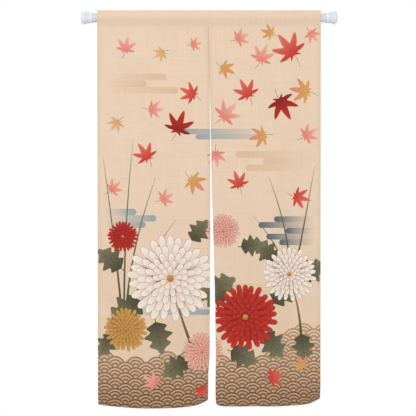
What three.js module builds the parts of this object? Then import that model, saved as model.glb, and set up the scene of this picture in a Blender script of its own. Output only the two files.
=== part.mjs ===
// A noren, the split curtain of a doorway, on its spring tension rod.
// Two cloth panels are sewn edge to edge at the top and hang free below. Each panel's top is turned over to the
// back and sewn down as a pocket for the rod, and its sides and its bottom are turned in as hems.
// Millimetres. Seen from the front, +X is to the right and +Z is up, and the front looks towards -Y.
// The origin is on the rod's axis, midway between its two feet.

import * as THREE from "three";

// Driving dimensions of the cloth
const CURTAIN_WIDTH = 850;
const CURTAIN_DROP = 1500; // from the crease at the top down to the hem
const SEWN_LENGTH = 296; // from the crease down to where the two panels come apart
const POCKET_DEPTH = 60; // from the crease down to the pocket's seam
const CREASE_HEIGHT = 28.5; // of the crease above the rod's axis
const CLOTH = 1.2;
const PANEL_GAP = 0.4; // between the panels where they are sewn edge to edge
const SIDE_HEM = 11;
const BOTTOM_HEM = 22;
const HEM_STEP = 1; // over which the two layers of a hem thin to one
const BIAS_GIVE = 0.15; // the share of a corner's sideways pull that shows, the rest being stretch on the bias
const CURL_RADIUS = 4.5; // of a panel's inner edge where it curls to the back
const CURTAIN_OFF = -2.85; // of the curtain's middle from the rod's, along X

// Driving dimensions of the rod
const ROD_SPAN = 970; // over both feet
const TUBE_RADIUS = 15.5;
const TUBE_WALL = 1.5;
const POCKET_EASE = 0.6; // between the tube and the cloth around it
const FITTING_EASE = 0.3; // between the tube and the pieces on its ends, and between those pieces
const NECK_LENGTH = 4; // of bare tube beside a curtain that hangs in the rod's middle
const COLLAR_LENGTH = 14;
const COLLAR_RADIUS = 18;
const COLLAR_MOUTH_RADIUS = 16.8; // of its narrower end, beside the cloth
const LIP_LENGTH = 6.5; // of the ring at the foot's inner end
const LIP_RADIUS = 20.2;
const BELL_RADIUS = 20.4; // of the foot just past its lip
const FLANGE_RADIUS = 24.6;
const FLANGE_FROM_END = 13;
const WAIST_FROM_END = 24; // where the bell begins to widen
const END_FACE_RADIUS = 12.5; // of the flat that presses on the doorway's side
const SOCKET_DEPTH = 16; // of the foot's socket, which takes the tube's end

// Where each panel hangs unevenly. across is measured from the panel's outer edge. starts and full are how far
// below the crease a form begins and how far below it has its whole size. The turns are in degrees.
// sag: how far its hem has dropped with use.
// outerDrift, innerDrift: how far those two edges hang to the right, as rows of [below the crease, drift].
// curl: how much of its width has curled to the back at the inner edge, as rows of [below the crease, width].
// folds: soft upright folds. out is how far one stands towards the front, and below zero it is a trough.
// corners: hem corners that turn to the back, over a stretch across and up from the corner.
const PANELS = [
  {
    name: "panel_left",
    side: -1,
    sag: 3.5,
    outerDrift: [
      [POCKET_DEPTH, 2.95],
      [1420, 6.6],
      [CURTAIN_DROP, 4.3],
    ],
    innerDrift: [
      [POCKET_DEPTH, 0],
      [380, 5.7],
      [1255, 9.2],
    ],
    curl: [
      [1300, 0],
      [1325, 6],
      [1376, 9.5],
    ],
    folds: [
      { across: 205, width: 125, out: 28, starts: 420, full: 1400 },
      { across: 95, width: 38, out: -5, starts: 480, full: 1250 },
      { across: 330, width: 42, out: -3, starts: 420, full: 1300 },
    ],
    corners: [
      { edge: "outer", across: 180, up: 95, turn: 36 },
      { edge: "inner", across: 140, up: 105, turn: 64 },
    ],
  },
  {
    name: "panel_right",
    side: 1,
    sag: 0,
    outerDrift: [
      [POCKET_DEPTH, 0.45],
      [1395, -1.1],
      [1450, 0.2],
      [CURTAIN_DROP, 3.4],
    ],
    innerDrift: [
      [POCKET_DEPTH, 0],
      [380, 5.7],
    ],
    curl: [
      [SEWN_LENGTH, 0],
      [350, 5.5],
      [1285, 22.7],
      [CURTAIN_DROP, 20.5],
    ],
    folds: [
      { across: 105, width: 58, out: -14, starts: 330, full: 1100 },
      { across: 195, width: 50, out: 6, starts: 330, full: 1000 },
      { across: 250, width: 42, out: -4, starts: 330, full: 1000 },
      { across: 320, width: 45, out: 5, starts: 310, full: 1000 },
    ],
    corners: [
      { edge: "outer", across: 140, up: 105, turn: 66 },
      { edge: "inner", across: 50, up: 50, turn: 110 },
    ],
  },
];

// How finely the shapes are divided
const COLUMNS_ACROSS = 13;
const COLUMNS_BY_CURL = 3;
const COLUMNS_IN_CURL = 7;
const CURL_REACH = 60; // of those closer columns from the inner edge
const ROWS_DOWN = 16;
const ROWS_AT_CORNERS = 6;
const CORNERS_REACH = 112; // of those closer rows above the hem
const POCKET_ARC_STEPS = 7;
const ROUND_SIDES = 32;
const BELL_STEPS = 6;

// Sizes that follow from the driving ones
const PANEL_WIDTH = (CURTAIN_WIDTH - PANEL_GAP) / 2;
const SEAM_HEIGHT = CREASE_HEIGHT - POCKET_DEPTH;
const ROD_END = ROD_SPAN / 2;
const COLLAR_START = CURTAIN_WIDTH / 2 + NECK_LENGTH;
const FOOT_LENGTH = ROD_END - COLLAR_START - COLLAR_LENGTH - FITTING_EASE;
const TUBE_END = ROD_END - FOOT_LENGTH + SOCKET_DEPTH - FITTING_EASE;
const SOCKET_RADIUS = TUBE_RADIUS + FITTING_EASE;

const clothLook = { color: 0xe9d0b8, roughness: 0.9, metalness: 0 };
const tubeLook = { color: 0xe3e7ec, roughness: 0.35, metalness: 0.1 };
const plasticLook = { color: 0xeceef2, roughness: 0.5, metalness: 0 };

function share(value, low, high) {
  return THREE.MathUtils.clamp((value - low) / (high - low), 0, 1);
}

function sum(rows, term) {
  return rows.reduce((total, row) => total + term(row), 0);
}

// The value at a place in rows of [place, value], straight from row to row
function between(rows, place) {
  const next = rows.findIndex(([at]) => at > place);
  if (next < 1) return next === 0 ? rows[0][1] : rows.at(-1)[1];
  const [[low, first], [high, last]] = rows.slice(next - 1, next + 1);
  return THREE.MathUtils.mapLinear(place, low, high, first, last);
}

function spaced(first, last, steps) {
  return Array.from({ length: steps + 1 }, (_, i) => first + ((last - first) * i) / steps);
}

// How far the folds carry the cloth to the back, at a place across the panel and down from the crease
function foldDepth(panel, across, down) {
  return sum(panel.folds, (fold) => {
    const bump = Math.exp(-(((across - fold.across) / fold.width) ** 2));
    return -fold.out * bump * THREE.MathUtils.smoothstep(down, fold.starts, fold.full);
  });
}

// The angle to which the inner edge has curled to the back
function curlAngle(panel, across, down) {
  const past = across - PANEL_WIDTH + between(panel.curl, down);
  return THREE.MathUtils.clamp(past / CURL_RADIUS, 0, Math.PI);
}

// The angle to which a hem corner has turned to the back
function cornerAngle(panel, across, down) {
  return sum(panel.corners, (corner) => {
    const fromEdge = corner.edge === "inner" ? PANEL_WIDTH - across : across;
    const near = share(corner.across - fromEdge, 0, corner.across);
    const low = share(down, CURTAIN_DROP - corner.up, CURTAIN_DROP);
    return THREE.MathUtils.degToRad(corner.turn) * near * near * low;
  });
}

// Places across the panel in a row, with a pair of columns at the outer hem's step and closer ones in the curl
function columnPlaces(panel, down) {
  const wideEnd = PANEL_WIDTH - CURL_REACH;
  const curlStart = PANEL_WIDTH - Math.max(between(panel.curl, down), SIDE_HEM + HEM_STEP);
  const wide = spaced(SIDE_HEM + HEM_STEP, wideEnd, COLUMNS_ACROSS);
  const close = spaced(wideEnd, curlStart, COLUMNS_BY_CURL).slice(1);
  const curled = spaced(curlStart, PANEL_WIDTH, COLUMNS_IN_CURL).slice(1);
  return [0, SIDE_HEM, ...wide, ...close, ...curled];
}

// Places down from the crease, from the pocket's seam to the hem, closer together at the corners
function rowPlaces() {
  const cornersStart = CURTAIN_DROP - CORNERS_REACH;
  const hemStart = CURTAIN_DROP - BOTTOM_HEM;
  const upper = spaced(POCKET_DEPTH, cornersStart, ROWS_DOWN);
  const lower = spaced(cornersStart, hemStart - HEM_STEP, ROWS_AT_CORNERS).slice(1);
  return [...upper, ...lower, hemStart, hemStart + BOTTOM_HEM / 2, CURTAIN_DROP];
}

// What the hem corners add to the depth, and how far the cloth has fallen, carried down each column
function fallGrids(panel, columns, rows) {
  const corner = columns.map((places) => places.map(() => 0));
  const fallen = columns.map((places) => places.map(() => 0));
  for (let k = 1; k < rows.length; k++) {
    const step = rows[k] - rows[k - 1];
    columns[k].forEach((across, i) => {
      const angle = cornerAngle(panel, across, rows[k] - step / 2);
      const swing = foldDepth(panel, across, rows[k]) - foldDepth(panel, across, rows[k - 1]);
      corner[k][i] = corner[k - 1][i] + step * Math.sin(angle);
      fallen[k][i] = fallen[k - 1][i] + Math.sqrt((step * Math.cos(angle)) ** 2 - swing ** 2);
    });
  }
  return { corner, fallen };
}

// The middle of the hanging cloth: a row of points for each place down and a column for each place across.
// Depth is paid for in width and in height, so that the cloth keeps its length.
function hangingGrid(panel, columns, rows) {
  const { corner, fallen } = fallGrids(panel, columns, rows);
  const sagged = 1 + panel.sag / (CURTAIN_DROP - POCKET_DEPTH);
  return rows.map((down, k) => {
    const outer = between(panel.outerDrift, down);
    const inner = between(panel.innerDrift, down);
    let inward = 0;
    let curled = 0;
    return columns[k].map((across, i) => {
      const fold = foldDepth(panel, across, down);
      if (i > 0) {
        const before = columns[k][i - 1];
        const step = across - before;
        const angle = curlAngle(panel, across - step / 2, down);
        const foldRise = fold - foldDepth(panel, before, down);
        const cornerRise = corner[k][i] - corner[k][i - 1];
        inward += Math.cos(angle) * Math.sqrt(step ** 2 - foldRise ** 2 - BIAS_GIVE * cornerRise ** 2);
        curled += Math.sin(angle) * step;
      }
      const drift = CURTAIN_OFF + THREE.MathUtils.lerp(outer, inner, across / PANEL_WIDTH);
      const x = panel.side * (CURTAIN_WIDTH / 2 - inward) + drift;
      return new THREE.Vector3(x, fold + curled + corner[k][i], SEAM_HEIGHT - fallen[k][i] * sagged);
    });
  });
}

// The direction to the front at each point of a grid
function frontNormals(panel, grid) {
  const lastRow = grid.length - 1;
  const lastColumn = grid[0].length - 1;
  return grid.map((row, k) =>
    row.map((_, i) => {
      const across = row[Math.min(i + 1, lastColumn)].clone().sub(row[Math.max(i - 1, 0)]);
      const down = grid[Math.min(k + 1, lastRow)][i].clone().sub(grid[Math.max(k - 1, 0)][i]);
      return across.cross(down).multiplyScalar(panel.side).normalize();
    }),
  );
}

// How thick the cloth is at a place: one layer, or two where a side or the bottom is turned in below the pocket
function thickness(across, down) {
  if (down <= POCKET_DEPTH) return CLOTH;
  const fromSide = Math.min(across, PANEL_WIDTH - across);
  const sideHem = 1 - share(fromSide, SIDE_HEM, SIDE_HEM + HEM_STEP);
  const hemStart = CURTAIN_DROP - BOTTOM_HEM;
  const bottomHem = share(down, hemStart - HEM_STEP, hemStart);
  return CLOTH * (1 + Math.max(sideHem, bottomHem));
}

// One face of the pocket's wall, from its seam up round the rod to its crease, as distances from the curtain's
// middle plane and heights. Its straight ends leave the circle of that radius round the rod's axis as tangents.
function pocketWall(radius, seamOff, seamHeight, creaseHeight) {
  const seamDistance = Math.hypot(seamOff, seamHeight);
  const seamAngle = Math.PI - Math.asin(seamOff / seamDistance);
  const lowAngle = seamAngle - Math.acos(radius / seamDistance);
  const highAngle = Math.acos(radius / creaseHeight);
  const arc = spaced(lowAngle, highAngle, POCKET_ARC_STEPS).map((angle) => ({
    off: radius * Math.sin(angle),
    height: radius * Math.cos(angle),
  }));
  return [{ off: seamOff, height: seamHeight }, ...arc, { off: 0, height: creaseHeight }];
}

// A closed skin that is put together from rows of points
class Skin {
  points = [];
  triangles = [];

  row(vectors) {
    return vectors.map((vector) => this.points.push(...vector.toArray()) / 3 - 1);
  }

  quad(a, b, c, d) {
    this.triangles.push([a, b, c], [a, c, d]);
  }

  // The strip between two rows, which faces the front where the first row is the lower one
  strip(lower, upper) {
    for (let i = 0; i + 1 < lower.length; i++) this.quad(lower[i], lower[i + 1], upper[i + 1], upper[i]);
  }

  // Both faces of a layer of cloth and the edges at its two ends, its rows running upwards
  layer(front, back) {
    const last = front[0].length - 1;
    for (let k = 0; k + 1 < front.length; k++) {
      this.strip(front[k], front[k + 1]);
      this.strip(back[k + 1], back[k]);
      this.quad(front[k][0], front[k + 1][0], back[k + 1][0], back[k][0]);
      this.quad(back[k][last], back[k + 1][last], front[k + 1][last], front[k][last]);
    }
  }

  geometry(turned) {
    const order = turned ? this.triangles.map(([a, b, c]) => [a, c, b]) : this.triangles;
    const made = new THREE.BufferGeometry();
    made.setAttribute("position", new THREE.Float32BufferAttribute(this.points, 3));
    made.setIndex(order.flat());
    made.computeVertexNormals();
    return made;
  }
}

// One panel: the hanging sheet, and above its seam the pocket's front and back layers, which meet at the crease
function panelGeometry(panel) {
  const rows = rowPlaces();
  const columns = rows.map((down) => columnPlaces(panel, down));
  const grid = hangingGrid(panel, columns, rows);
  const normals = frontNormals(panel, grid);
  const skin = new Skin();

  const sheetRow = (k, offset) =>
    skin.row(
      grid[k].map((point, i) => point.clone().addScaledVector(normals[k][i], offset(columns[k][i], rows[k]))),
    );
  const upwards = rows.map((_, k) => rows.length - 1 - k);
  const sheetFront = upwards.map((k) => sheetRow(k, () => CLOTH / 2));
  const sheetBack = upwards.map((k) => sheetRow(k, (across, down) => CLOTH / 2 - thickness(across, down)));
  skin.layer(sheetFront, sheetBack);
  skin.strip(sheetBack[0], sheetFront[0]);

  const inner = TUBE_RADIUS + POCKET_EASE;
  const outer = inner + CLOTH;
  const outside = pocketWall(outer, CLOTH / 2, SEAM_HEIGHT, CREASE_HEIGHT);
  const inside = pocketWall(inner, 0, SEAM_HEIGHT + 2 * CLOTH, (CREASE_HEIGHT * inner) / outer);
  const wallRow = (place, face) =>
    skin.row(grid[0].map((top) => new THREE.Vector3(top.x, face * place.off, place.height)));
  const wallRows = (wall, face) => wall.slice(1, -1).map((place) => wallRow(place, face));
  const [crease, creaseInside, seamInside] = [outside.at(-1), inside.at(-1), inside[0]].map((place) =>
    wallRow(place, 1),
  );
  const frontSeam = sheetFront.at(-1);
  const backSeam = sheetBack.at(-1);
  skin.layer(
    [frontSeam, ...wallRows(outside, -1), crease],
    [seamInside, ...wallRows(inside, -1), creaseInside],
  );
  skin.layer([seamInside, ...wallRows(inside, 1), creaseInside], [backSeam, ...wallRows(outside, 1), crease]);
  const last = columns[0].length - 1;
  skin.triangles.push([frontSeam[0], seamInside[0], backSeam[0]]);
  skin.triangles.push([backSeam[last], seamInside[last], frontSeam[last]]);
  return skin.geometry(panel.side > 0);
}

// A round piece whose outline is given as [radius, distance along X], turned about the rod's axis
function turnedGeometry(outline) {
  const points = outline.map(([radius, along]) => new THREE.Vector2(radius, along));
  return new THREE.LatheGeometry(points, ROUND_SIDES).rotateZ(-Math.PI / 2);
}

function tubeGeometry() {
  const bore = TUBE_RADIUS - TUBE_WALL;
  return turnedGeometry([
    [bore, -TUBE_END],
    [TUBE_RADIUS, -TUBE_END],
    [TUBE_RADIUS, TUBE_END],
    [bore, TUBE_END],
    [bore, -TUBE_END],
  ]);
}

function collarGeometry() {
  const outerEnd = COLLAR_START + COLLAR_LENGTH;
  return turnedGeometry([
    [SOCKET_RADIUS, COLLAR_START],
    [COLLAR_MOUTH_RADIUS, COLLAR_START],
    [COLLAR_RADIUS, COLLAR_START + COLLAR_LENGTH / 2],
    [COLLAR_RADIUS, outerEnd],
    [SOCKET_RADIUS, outerEnd],
    [SOCKET_RADIUS, COLLAR_START],
  ]);
}

// The foot: a lip round the tube, a bell that widens to a flange, and a round nose with a flat end
function footGeometry() {
  const mouth = ROD_END - FOOT_LENGTH;
  const flange = ROD_END - FLANGE_FROM_END;
  const waist = ROD_END - WAIST_FROM_END;
  const bell = spaced(0, 1, BELL_STEPS).map((t) => {
    const radius = BELL_RADIUS + (FLANGE_RADIUS - BELL_RADIUS) * THREE.MathUtils.smoothstep(t, 0, 1);
    return [radius, waist + (flange - waist) * t];
  });
  const nose = spaced(0, Math.PI / 2, BELL_STEPS).map((angle) => [
    END_FACE_RADIUS + (FLANGE_RADIUS - END_FACE_RADIUS) * Math.cos(angle),
    flange + FLANGE_FROM_END * Math.sin(angle),
  ]);
  return turnedGeometry([
    [0, mouth + SOCKET_DEPTH],
    [SOCKET_RADIUS, mouth + SOCKET_DEPTH],
    [SOCKET_RADIUS, mouth],
    [LIP_RADIUS, mouth],
    [LIP_RADIUS, mouth + LIP_LENGTH],
    [BELL_RADIUS, mouth + LIP_LENGTH],
    ...bell,
    ...nose.slice(1),
    [0, ROD_END],
  ]);
}

function addPiece(group, name, geometry, look) {
  const piece = new THREE.Mesh(geometry, new THREE.MeshStandardMaterial(look));
  piece.name = name;
  group.add(piece);
  return piece;
}

const curtain = new THREE.Group();
PANELS.forEach((panel) => addPiece(curtain, panel.name, panelGeometry(panel), clothLook));
addPiece(curtain, "rod_tube", tubeGeometry(), tubeLook);
[
  { end: "left", turn: Math.PI },
  { end: "right", turn: 0 },
].forEach(({ end, turn }) => {
  addPiece(curtain, `collar_${end}`, collarGeometry(), plasticLook).rotation.z = turn;
  addPiece(curtain, `foot_${end}`, footGeometry(), plasticLook).rotation.z = turn;
});

export default curtain;
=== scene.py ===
# %% [markdown]
# # A printed noren on its tension rod
# A noren is the split curtain of a doorway: two linen panels, sewn edge to edge at the top, with a pocket
# for a spring rod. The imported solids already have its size, its folds and its rod. This lesson dresses
# them. Each panel becomes one thin sheet with turned hems and a dyed pattern, threads are sewn through the
# hems, and the rod gets smooth turned ends. Everything is in metres, with the rod's axis along X and the
# front towards -Y.

# %% Load the frame
import math

import bpy
import numpy as np
from mathutils.geometry import delaunay_2d_cdt
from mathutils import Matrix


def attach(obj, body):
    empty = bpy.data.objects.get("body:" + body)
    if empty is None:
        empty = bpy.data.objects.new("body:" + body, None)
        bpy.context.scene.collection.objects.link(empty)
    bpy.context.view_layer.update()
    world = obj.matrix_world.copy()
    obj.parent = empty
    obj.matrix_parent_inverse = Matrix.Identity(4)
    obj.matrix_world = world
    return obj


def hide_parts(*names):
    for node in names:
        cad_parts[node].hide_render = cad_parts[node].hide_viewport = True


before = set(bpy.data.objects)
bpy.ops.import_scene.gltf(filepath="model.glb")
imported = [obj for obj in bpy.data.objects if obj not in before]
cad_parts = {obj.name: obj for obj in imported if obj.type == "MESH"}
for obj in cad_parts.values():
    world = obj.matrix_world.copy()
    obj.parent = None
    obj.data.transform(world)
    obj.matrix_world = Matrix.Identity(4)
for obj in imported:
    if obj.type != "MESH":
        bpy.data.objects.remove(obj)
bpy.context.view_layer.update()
print("CAD nodes:", ", ".join(sorted(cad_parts)))

# %% [markdown]
# ## Camera, floor and light
# The camera looks straight at the curtain from 4 m, at the middle of its height. A long lens keeps both
# edges upright. The floor is a pale disc below the hem that fades out, so that no horizon crosses the
# picture. A white world fills every shadow, as in a light tent, and two large soft lamps in front give the
# folds their form. A small one above brightens the rod and the pocket, and one behind serves the views of
# the back.


# %% Camera
def placed_object(name, data):
    """A new object, linked into the scene."""
    made = bpy.data.objects.new(name, data)
    bpy.context.collection.objects.link(made)
    return made


VIEW_DISTANCE = 4.0
VIEW_X, VIEW_Z = -0.0048, -0.7201
VIEW_WIDTH = 1.5757  # across the picture, at the rod's distance
SENSOR_MM = 36.0

camera = placed_object("camera", bpy.data.cameras.new("camera"))
camera.data.sensor_width = SENSOR_MM
camera.data.lens = SENSOR_MM * VIEW_DISTANCE / VIEW_WIDTH
camera.location = (VIEW_X, -VIEW_DISTANCE, VIEW_Z)
camera.rotation_euler = (math.pi / 2, 0, 0)
bpy.context.scene.camera = camera
print("lens", round(camera.data.lens, 2), "mm")


# %% Node helpers
def feed(tree, made, inputs):
    """Sets a node's inputs, by name or number, or links them to other nodes."""
    for name, value in inputs.items():
        if isinstance(value, bpy.types.NodeSocket):
            tree.links.new(value, made.inputs[name])
        else:
            made.inputs[name].default_value = value


def node(tree, kind, inputs=None, **settings):
    """A new node with its settings and its inputs."""
    made = tree.nodes.new(kind)
    for name, value in settings.items():
        setattr(made, name, value)
    feed(tree, made, inputs or {})
    return made


def result(tree, kind, inputs=None, **settings):
    """The first output of a new node."""
    return node(tree, kind, inputs, **settings).outputs[0]


def vector_node(tree, operation, *values, **inputs):
    """The result of a sum on places or colours."""
    return result(tree, "ShaderNodeVectorMath", {**dict(enumerate(values)), **inputs}, operation=operation)


def ranged(tree, value, start, end, low=0.0, high=1.0):
    """A value that runs from start to end while another one runs from low to high."""
    return result(tree, "ShaderNodeMapRange", {0: value, 1: low, 2: high, 3: start, 4: end})


def object_place(tree):
    """The place that is being coloured, in the shared frame."""
    return node(tree, "ShaderNodeTexCoord").outputs["Object"]


def new_finish(name):
    """A new material, its node tree and its surface."""
    finish = bpy.data.materials.new(name)
    finish.use_nodes = True
    return finish, finish.node_tree, finish.node_tree.nodes["Principled BSDF"]


# %% Floor
def new_mesh(name, places, edges, faces):
    """A new mesh from its places, edges and faces."""
    mesh = bpy.data.meshes.new(name)
    mesh.from_pydata(places, edges, faces)
    return mesh


FLOOR_Z = -1.95
FLOOR_RADIUS = 1.9
FLOOR_SIDES = 96
FADE_START, FADE_END = 0.7, 0.97 * FLOOR_RADIUS
FLOOR_COLOUR, FLOOR_ROUGHNESS = (0.86, 0.86, 0.85, 1), 0.8

turns = 2 * math.pi * np.arange(FLOOR_SIDES) / FLOOR_SIDES
floor_rim = [(FLOOR_RADIUS * math.cos(turn), FLOOR_RADIUS * math.sin(turn), FLOOR_Z) for turn in turns]
floor = placed_object("floor", new_mesh("floor", floor_rim, [], [list(range(FLOOR_SIDES))]))

floor_finish, tree, surface = new_finish("pale floor")
flat_place = vector_node(tree, "MULTIPLY", object_place(tree), (1, 1, 0))
reach = node(tree, "ShaderNodeVectorMath", {0: flat_place}, operation="LENGTH").outputs["Value"]
fade = ranged(tree, reach, 1.0, 0.0, FADE_START, FADE_END)
feed(tree, surface, {"Base Color": FLOOR_COLOUR, "Roughness": FLOOR_ROUGHNESS, "Alpha": fade})
floor.data.materials.append(floor_finish)
print("floor at", FLOOR_Z)

# %% Light
WORLD_STRENGTH = 0.60
LIT_POINT = (0, 0, -0.72)  # at which the lamps are turned
LAMPS = [
    {"name": "key", "at": (-2.0, -3.4, 1.30), "size": 2.4, "watts": 64},
    {"name": "fill", "at": (2.3, -3.4, -0.35), "size": 2.6, "watts": 30},
    {"name": "top", "at": (0, 0.35, 1.30), "size": 0.7, "watts": 2.5},
    {"name": "back", "at": (0.9, 3.4, 0.20), "size": 2.4, "watts": 32},
]

world = bpy.data.worlds.new("white tent")
world.use_nodes = True
bpy.context.scene.world = world
tree = world.node_tree
seen = node(tree, "ShaderNodeLightPath").outputs["Is Camera Ray"]
glow = ranged(tree, seen, WORLD_STRENGTH, 1.0)
feed(tree, tree.nodes["Background"], {"Color": (1, 1, 1, 1), "Strength": glow})

aim = placed_object("aim", None)
aim.location = LIT_POINT
for lamp in LAMPS:
    data = bpy.data.lights.new(lamp["name"], "AREA")
    data.size = lamp["size"]
    data.energy = lamp["watts"]
    lit = placed_object(lamp["name"], data)
    lit.location = lamp["at"]
    lit.visible_camera = False
    lit.constraints.new("TRACK_TO").target = aim
bpy.context.scene.view_settings.view_transform = "Standard"
print(len(LAMPS), "lamps")

# %% [markdown]
# ## How the cloth hangs
# A hung panel could be simulated, but here its folds are known: a broad swell on the left panel, the
# curled inner edge of the right one, and hem corners that turn to the back. So the drape is reckoned
# instead. Depth grows from the fold table, and every step to the back is paid for in width or in height,
# because linen doesn't stretch. The values are those of the solids, so the sheet lies on them.

# %% Sizes of the cloth
CURTAIN_WIDTH = 0.850
CURTAIN_DROP = 1.500  # from the crease at the top down to the hem
SEWN_LENGTH = 0.296  # from the crease down to where the two panels come apart
POCKET_DEPTH = 0.060  # from the crease down to the pocket's seam
CREASE_HEIGHT = 0.0285  # of the crease above the rod's axis
SEAM_HEIGHT = CREASE_HEIGHT - POCKET_DEPTH
PANEL_GAP = 0.0004
PANEL_WIDTH = (CURTAIN_WIDTH - PANEL_GAP) / 2
SIDE_HEM = 0.011
BOTTOM_HEM = 0.022
FACE_OFF = 0.0006  # of the printed face in front of the cloth's middle
BIAS_GIVE = 0.15  # the share of a corner's sideways pull that shows, the rest being stretch on the bias
CURL_RADIUS = 0.0045  # of a panel's inner edge where it curls to the back
CURTAIN_OFF = -0.00285  # of the curtain's middle from the rod's
print("finished panel:", PANEL_WIDTH, "by", CURTAIN_DROP, "m")

# %% Folds and edges of each panel
PANELS = {
    "left": {
        "side": -1,
        "sag": 0.0035,  # how far its hem has dropped with use
        # Down, and how far an edge has drifted to the right there.
        "outer_drift": [(POCKET_DEPTH, 0.00295), (1.420, 0.0066), (CURTAIN_DROP, 0.0043)],
        "inner_drift": [(POCKET_DEPTH, 0), (0.380, 0.0057), (1.255, 0.0092)],
        "curl": [(1.300, 0), (1.325, 0.006), (1.376, 0.0095)],  # down, width that has curled to the back
        "folds": [  # across, width, how far to the front, where it starts, where it is whole
            (0.205, 0.125, 0.028, 0.420, 1.400),
            (0.095, 0.038, -0.005, 0.480, 1.250),
            (0.330, 0.042, -0.003, 0.420, 1.300),
        ],
        "outer_corner": (0.180, 0.095, 36),  # reach across, reach up, degrees
        "inner_corner": (0.140, 0.105, 64),
    },
    "right": {
        "side": 1,
        "sag": 0.0,
        "outer_drift": [(POCKET_DEPTH, 0.00045), (1.395, -0.0011), (1.450, 0.0002), (CURTAIN_DROP, 0.0034)],
        "inner_drift": [(POCKET_DEPTH, 0), (0.380, 0.0057)],
        "curl": [(SEWN_LENGTH, 0), (0.350, 0.0055), (1.285, 0.0227), (CURTAIN_DROP, 0.0205)],
        "folds": [
            (0.105, 0.058, -0.014, 0.330, 1.100),
            (0.195, 0.050, 0.006, 0.330, 1.000),
            (0.250, 0.042, -0.004, 0.330, 1.000),
            (0.320, 0.045, 0.005, 0.310, 1.000),
        ],
        "outer_corner": (0.140, 0.105, 66),
        "inner_corner": (0.050, 0.050, 110),
    },
}
for name, panel in PANELS.items():
    print(name, "panel:", len(panel["folds"]), "folds")


# %% Running values
def share(value, low, high):
    """How far a value is from low to high, from 0 to 1."""
    return np.clip((value - low) / (high - low), 0, 1)


def ease(value, low, high):
    """The same, with a soft start and end."""
    part = share(value, low, high)
    return part * part * (3 - 2 * part)


def summed(steps, axis):
    """Running sums along an axis, from nothing."""
    start = np.zeros_like(np.take(steps, [0], axis))
    return np.concatenate([start, np.cumsum(steps, axis)], axis)


def along_rows(rows, place):
    """The value at a place in rows of place and value, straight from row to row."""
    return np.interp(place, *zip(*rows))


# %% Drape
ACROSS = np.linspace(0, PANEL_WIDTH, 426)  # from the panel's outer edge
DOWN = np.linspace(POCKET_DEPTH, CURTAIN_DROP, 481)  # from the crease
LAST_CELL = 1.001  # taken from a count of places, which keeps every place inside the last cell


def hanging(panel):
    """Where the middle of the hanging cloth is, for each place down and across."""
    a, d = ACROSS[None, :], DOWN[:, None]
    a_step, d_step = ACROSS[1], DOWN[1] - DOWN[0]
    fold = sum(-out * np.exp(-(((a - at) / width) ** 2)) * ease(d, start, full)
               for at, width, out, start, full in panel["folds"])
    past = a[:, :-1] + a_step / 2 - PANEL_WIDTH + along_rows(panel["curl"], d)
    curl = np.clip(past / CURL_RADIUS, 0, math.pi)
    curled = summed(a_step * np.sin(curl), 1)
    angle = 0
    for name, from_edge in (("outer_corner", a), ("inner_corner", PANEL_WIDTH - a)):
        reach, up, turn = panel[name]
        low = share(d[:-1] + d_step / 2, CURTAIN_DROP - up, CURTAIN_DROP)
        angle = angle + math.radians(turn) * share(reach - from_edge, 0, reach) ** 2 * low
    corner = summed(d_step * np.sin(angle), 0)
    fallen = summed(np.sqrt((d_step * np.cos(angle)) ** 2 - np.diff(fold, axis=0) ** 2), 0)
    pulled = np.diff(fold, axis=1) ** 2 + BIAS_GIVE * np.diff(corner, axis=1) ** 2
    inward = summed(np.cos(curl) * np.sqrt(a_step**2 - pulled), 1)
    outer, inner = along_rows(panel["outer_drift"], d), along_rows(panel["inner_drift"], d)
    drift = CURTAIN_OFF + outer + (inner - outer) * a / PANEL_WIDTH
    sagged = 1 + panel["sag"] / (CURTAIN_DROP - POCKET_DEPTH)
    x = panel["side"] * (CURTAIN_WIDTH / 2 - inward) + drift
    return np.stack([x, fold + curled + corner, SEAM_HEIGHT - fallen * sagged], -1)


def between(grid, across, down):
    """Places on a hanging grid, each weighed from the four points around it."""
    i = np.clip(across / ACROSS[1], 0, len(ACROSS) - LAST_CELL)
    k = np.clip((down - DOWN[0]) / (DOWN[1] - DOWN[0]), 0, len(DOWN) - LAST_CELL)
    i0, k0 = i.astype(int), k.astype(int)
    u, v = (i - i0)[:, None], (k - k0)[:, None]
    upper = grid[k0, i0] * (1 - u) + grid[k0, i0 + 1] * u
    lower = grid[k0 + 1, i0] * (1 - u) + grid[k0 + 1, i0 + 1] * u
    return upper * (1 - v) + lower * v


for name, panel in PANELS.items():
    panel["grid"] = hanging(panel)
    hem = panel["grid"][-1, :, 2]
    print(name, "hem from", hem.min().round(4), "to", hem.max().round(4))

# %% [markdown]
# ## The pocket
# The top of each panel goes over the rod and down its back to a row of stitches. In section the cloth runs
# from a pressed crease along a tangent to the rod, round it, and along a tangent to the seam. The seam is
# no sharp corner in real cloth, so the path is smoothed there. Distances along this path are the cloth's
# own, which keeps the print and the weave unstretched.

# %% Pocket path
POCKET_RADIUS = 0.0173  # of the printed face round the rod
BACK_SEAM_OFF = 0.0012  # of the back layer's face behind the curtain's middle, at the seam
PATH_STEP, ROUND_STEPS = 0.0005, 80
PATH_BELOW = 0.080  # how far below the seam the smoothing is followed
SEAM_SOFTNESS = 0.009
SOFT_FROM, SOFT_WHOLE = 0.040, 0.018  # above the seam, where the smoothing starts and where it is whole


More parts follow.
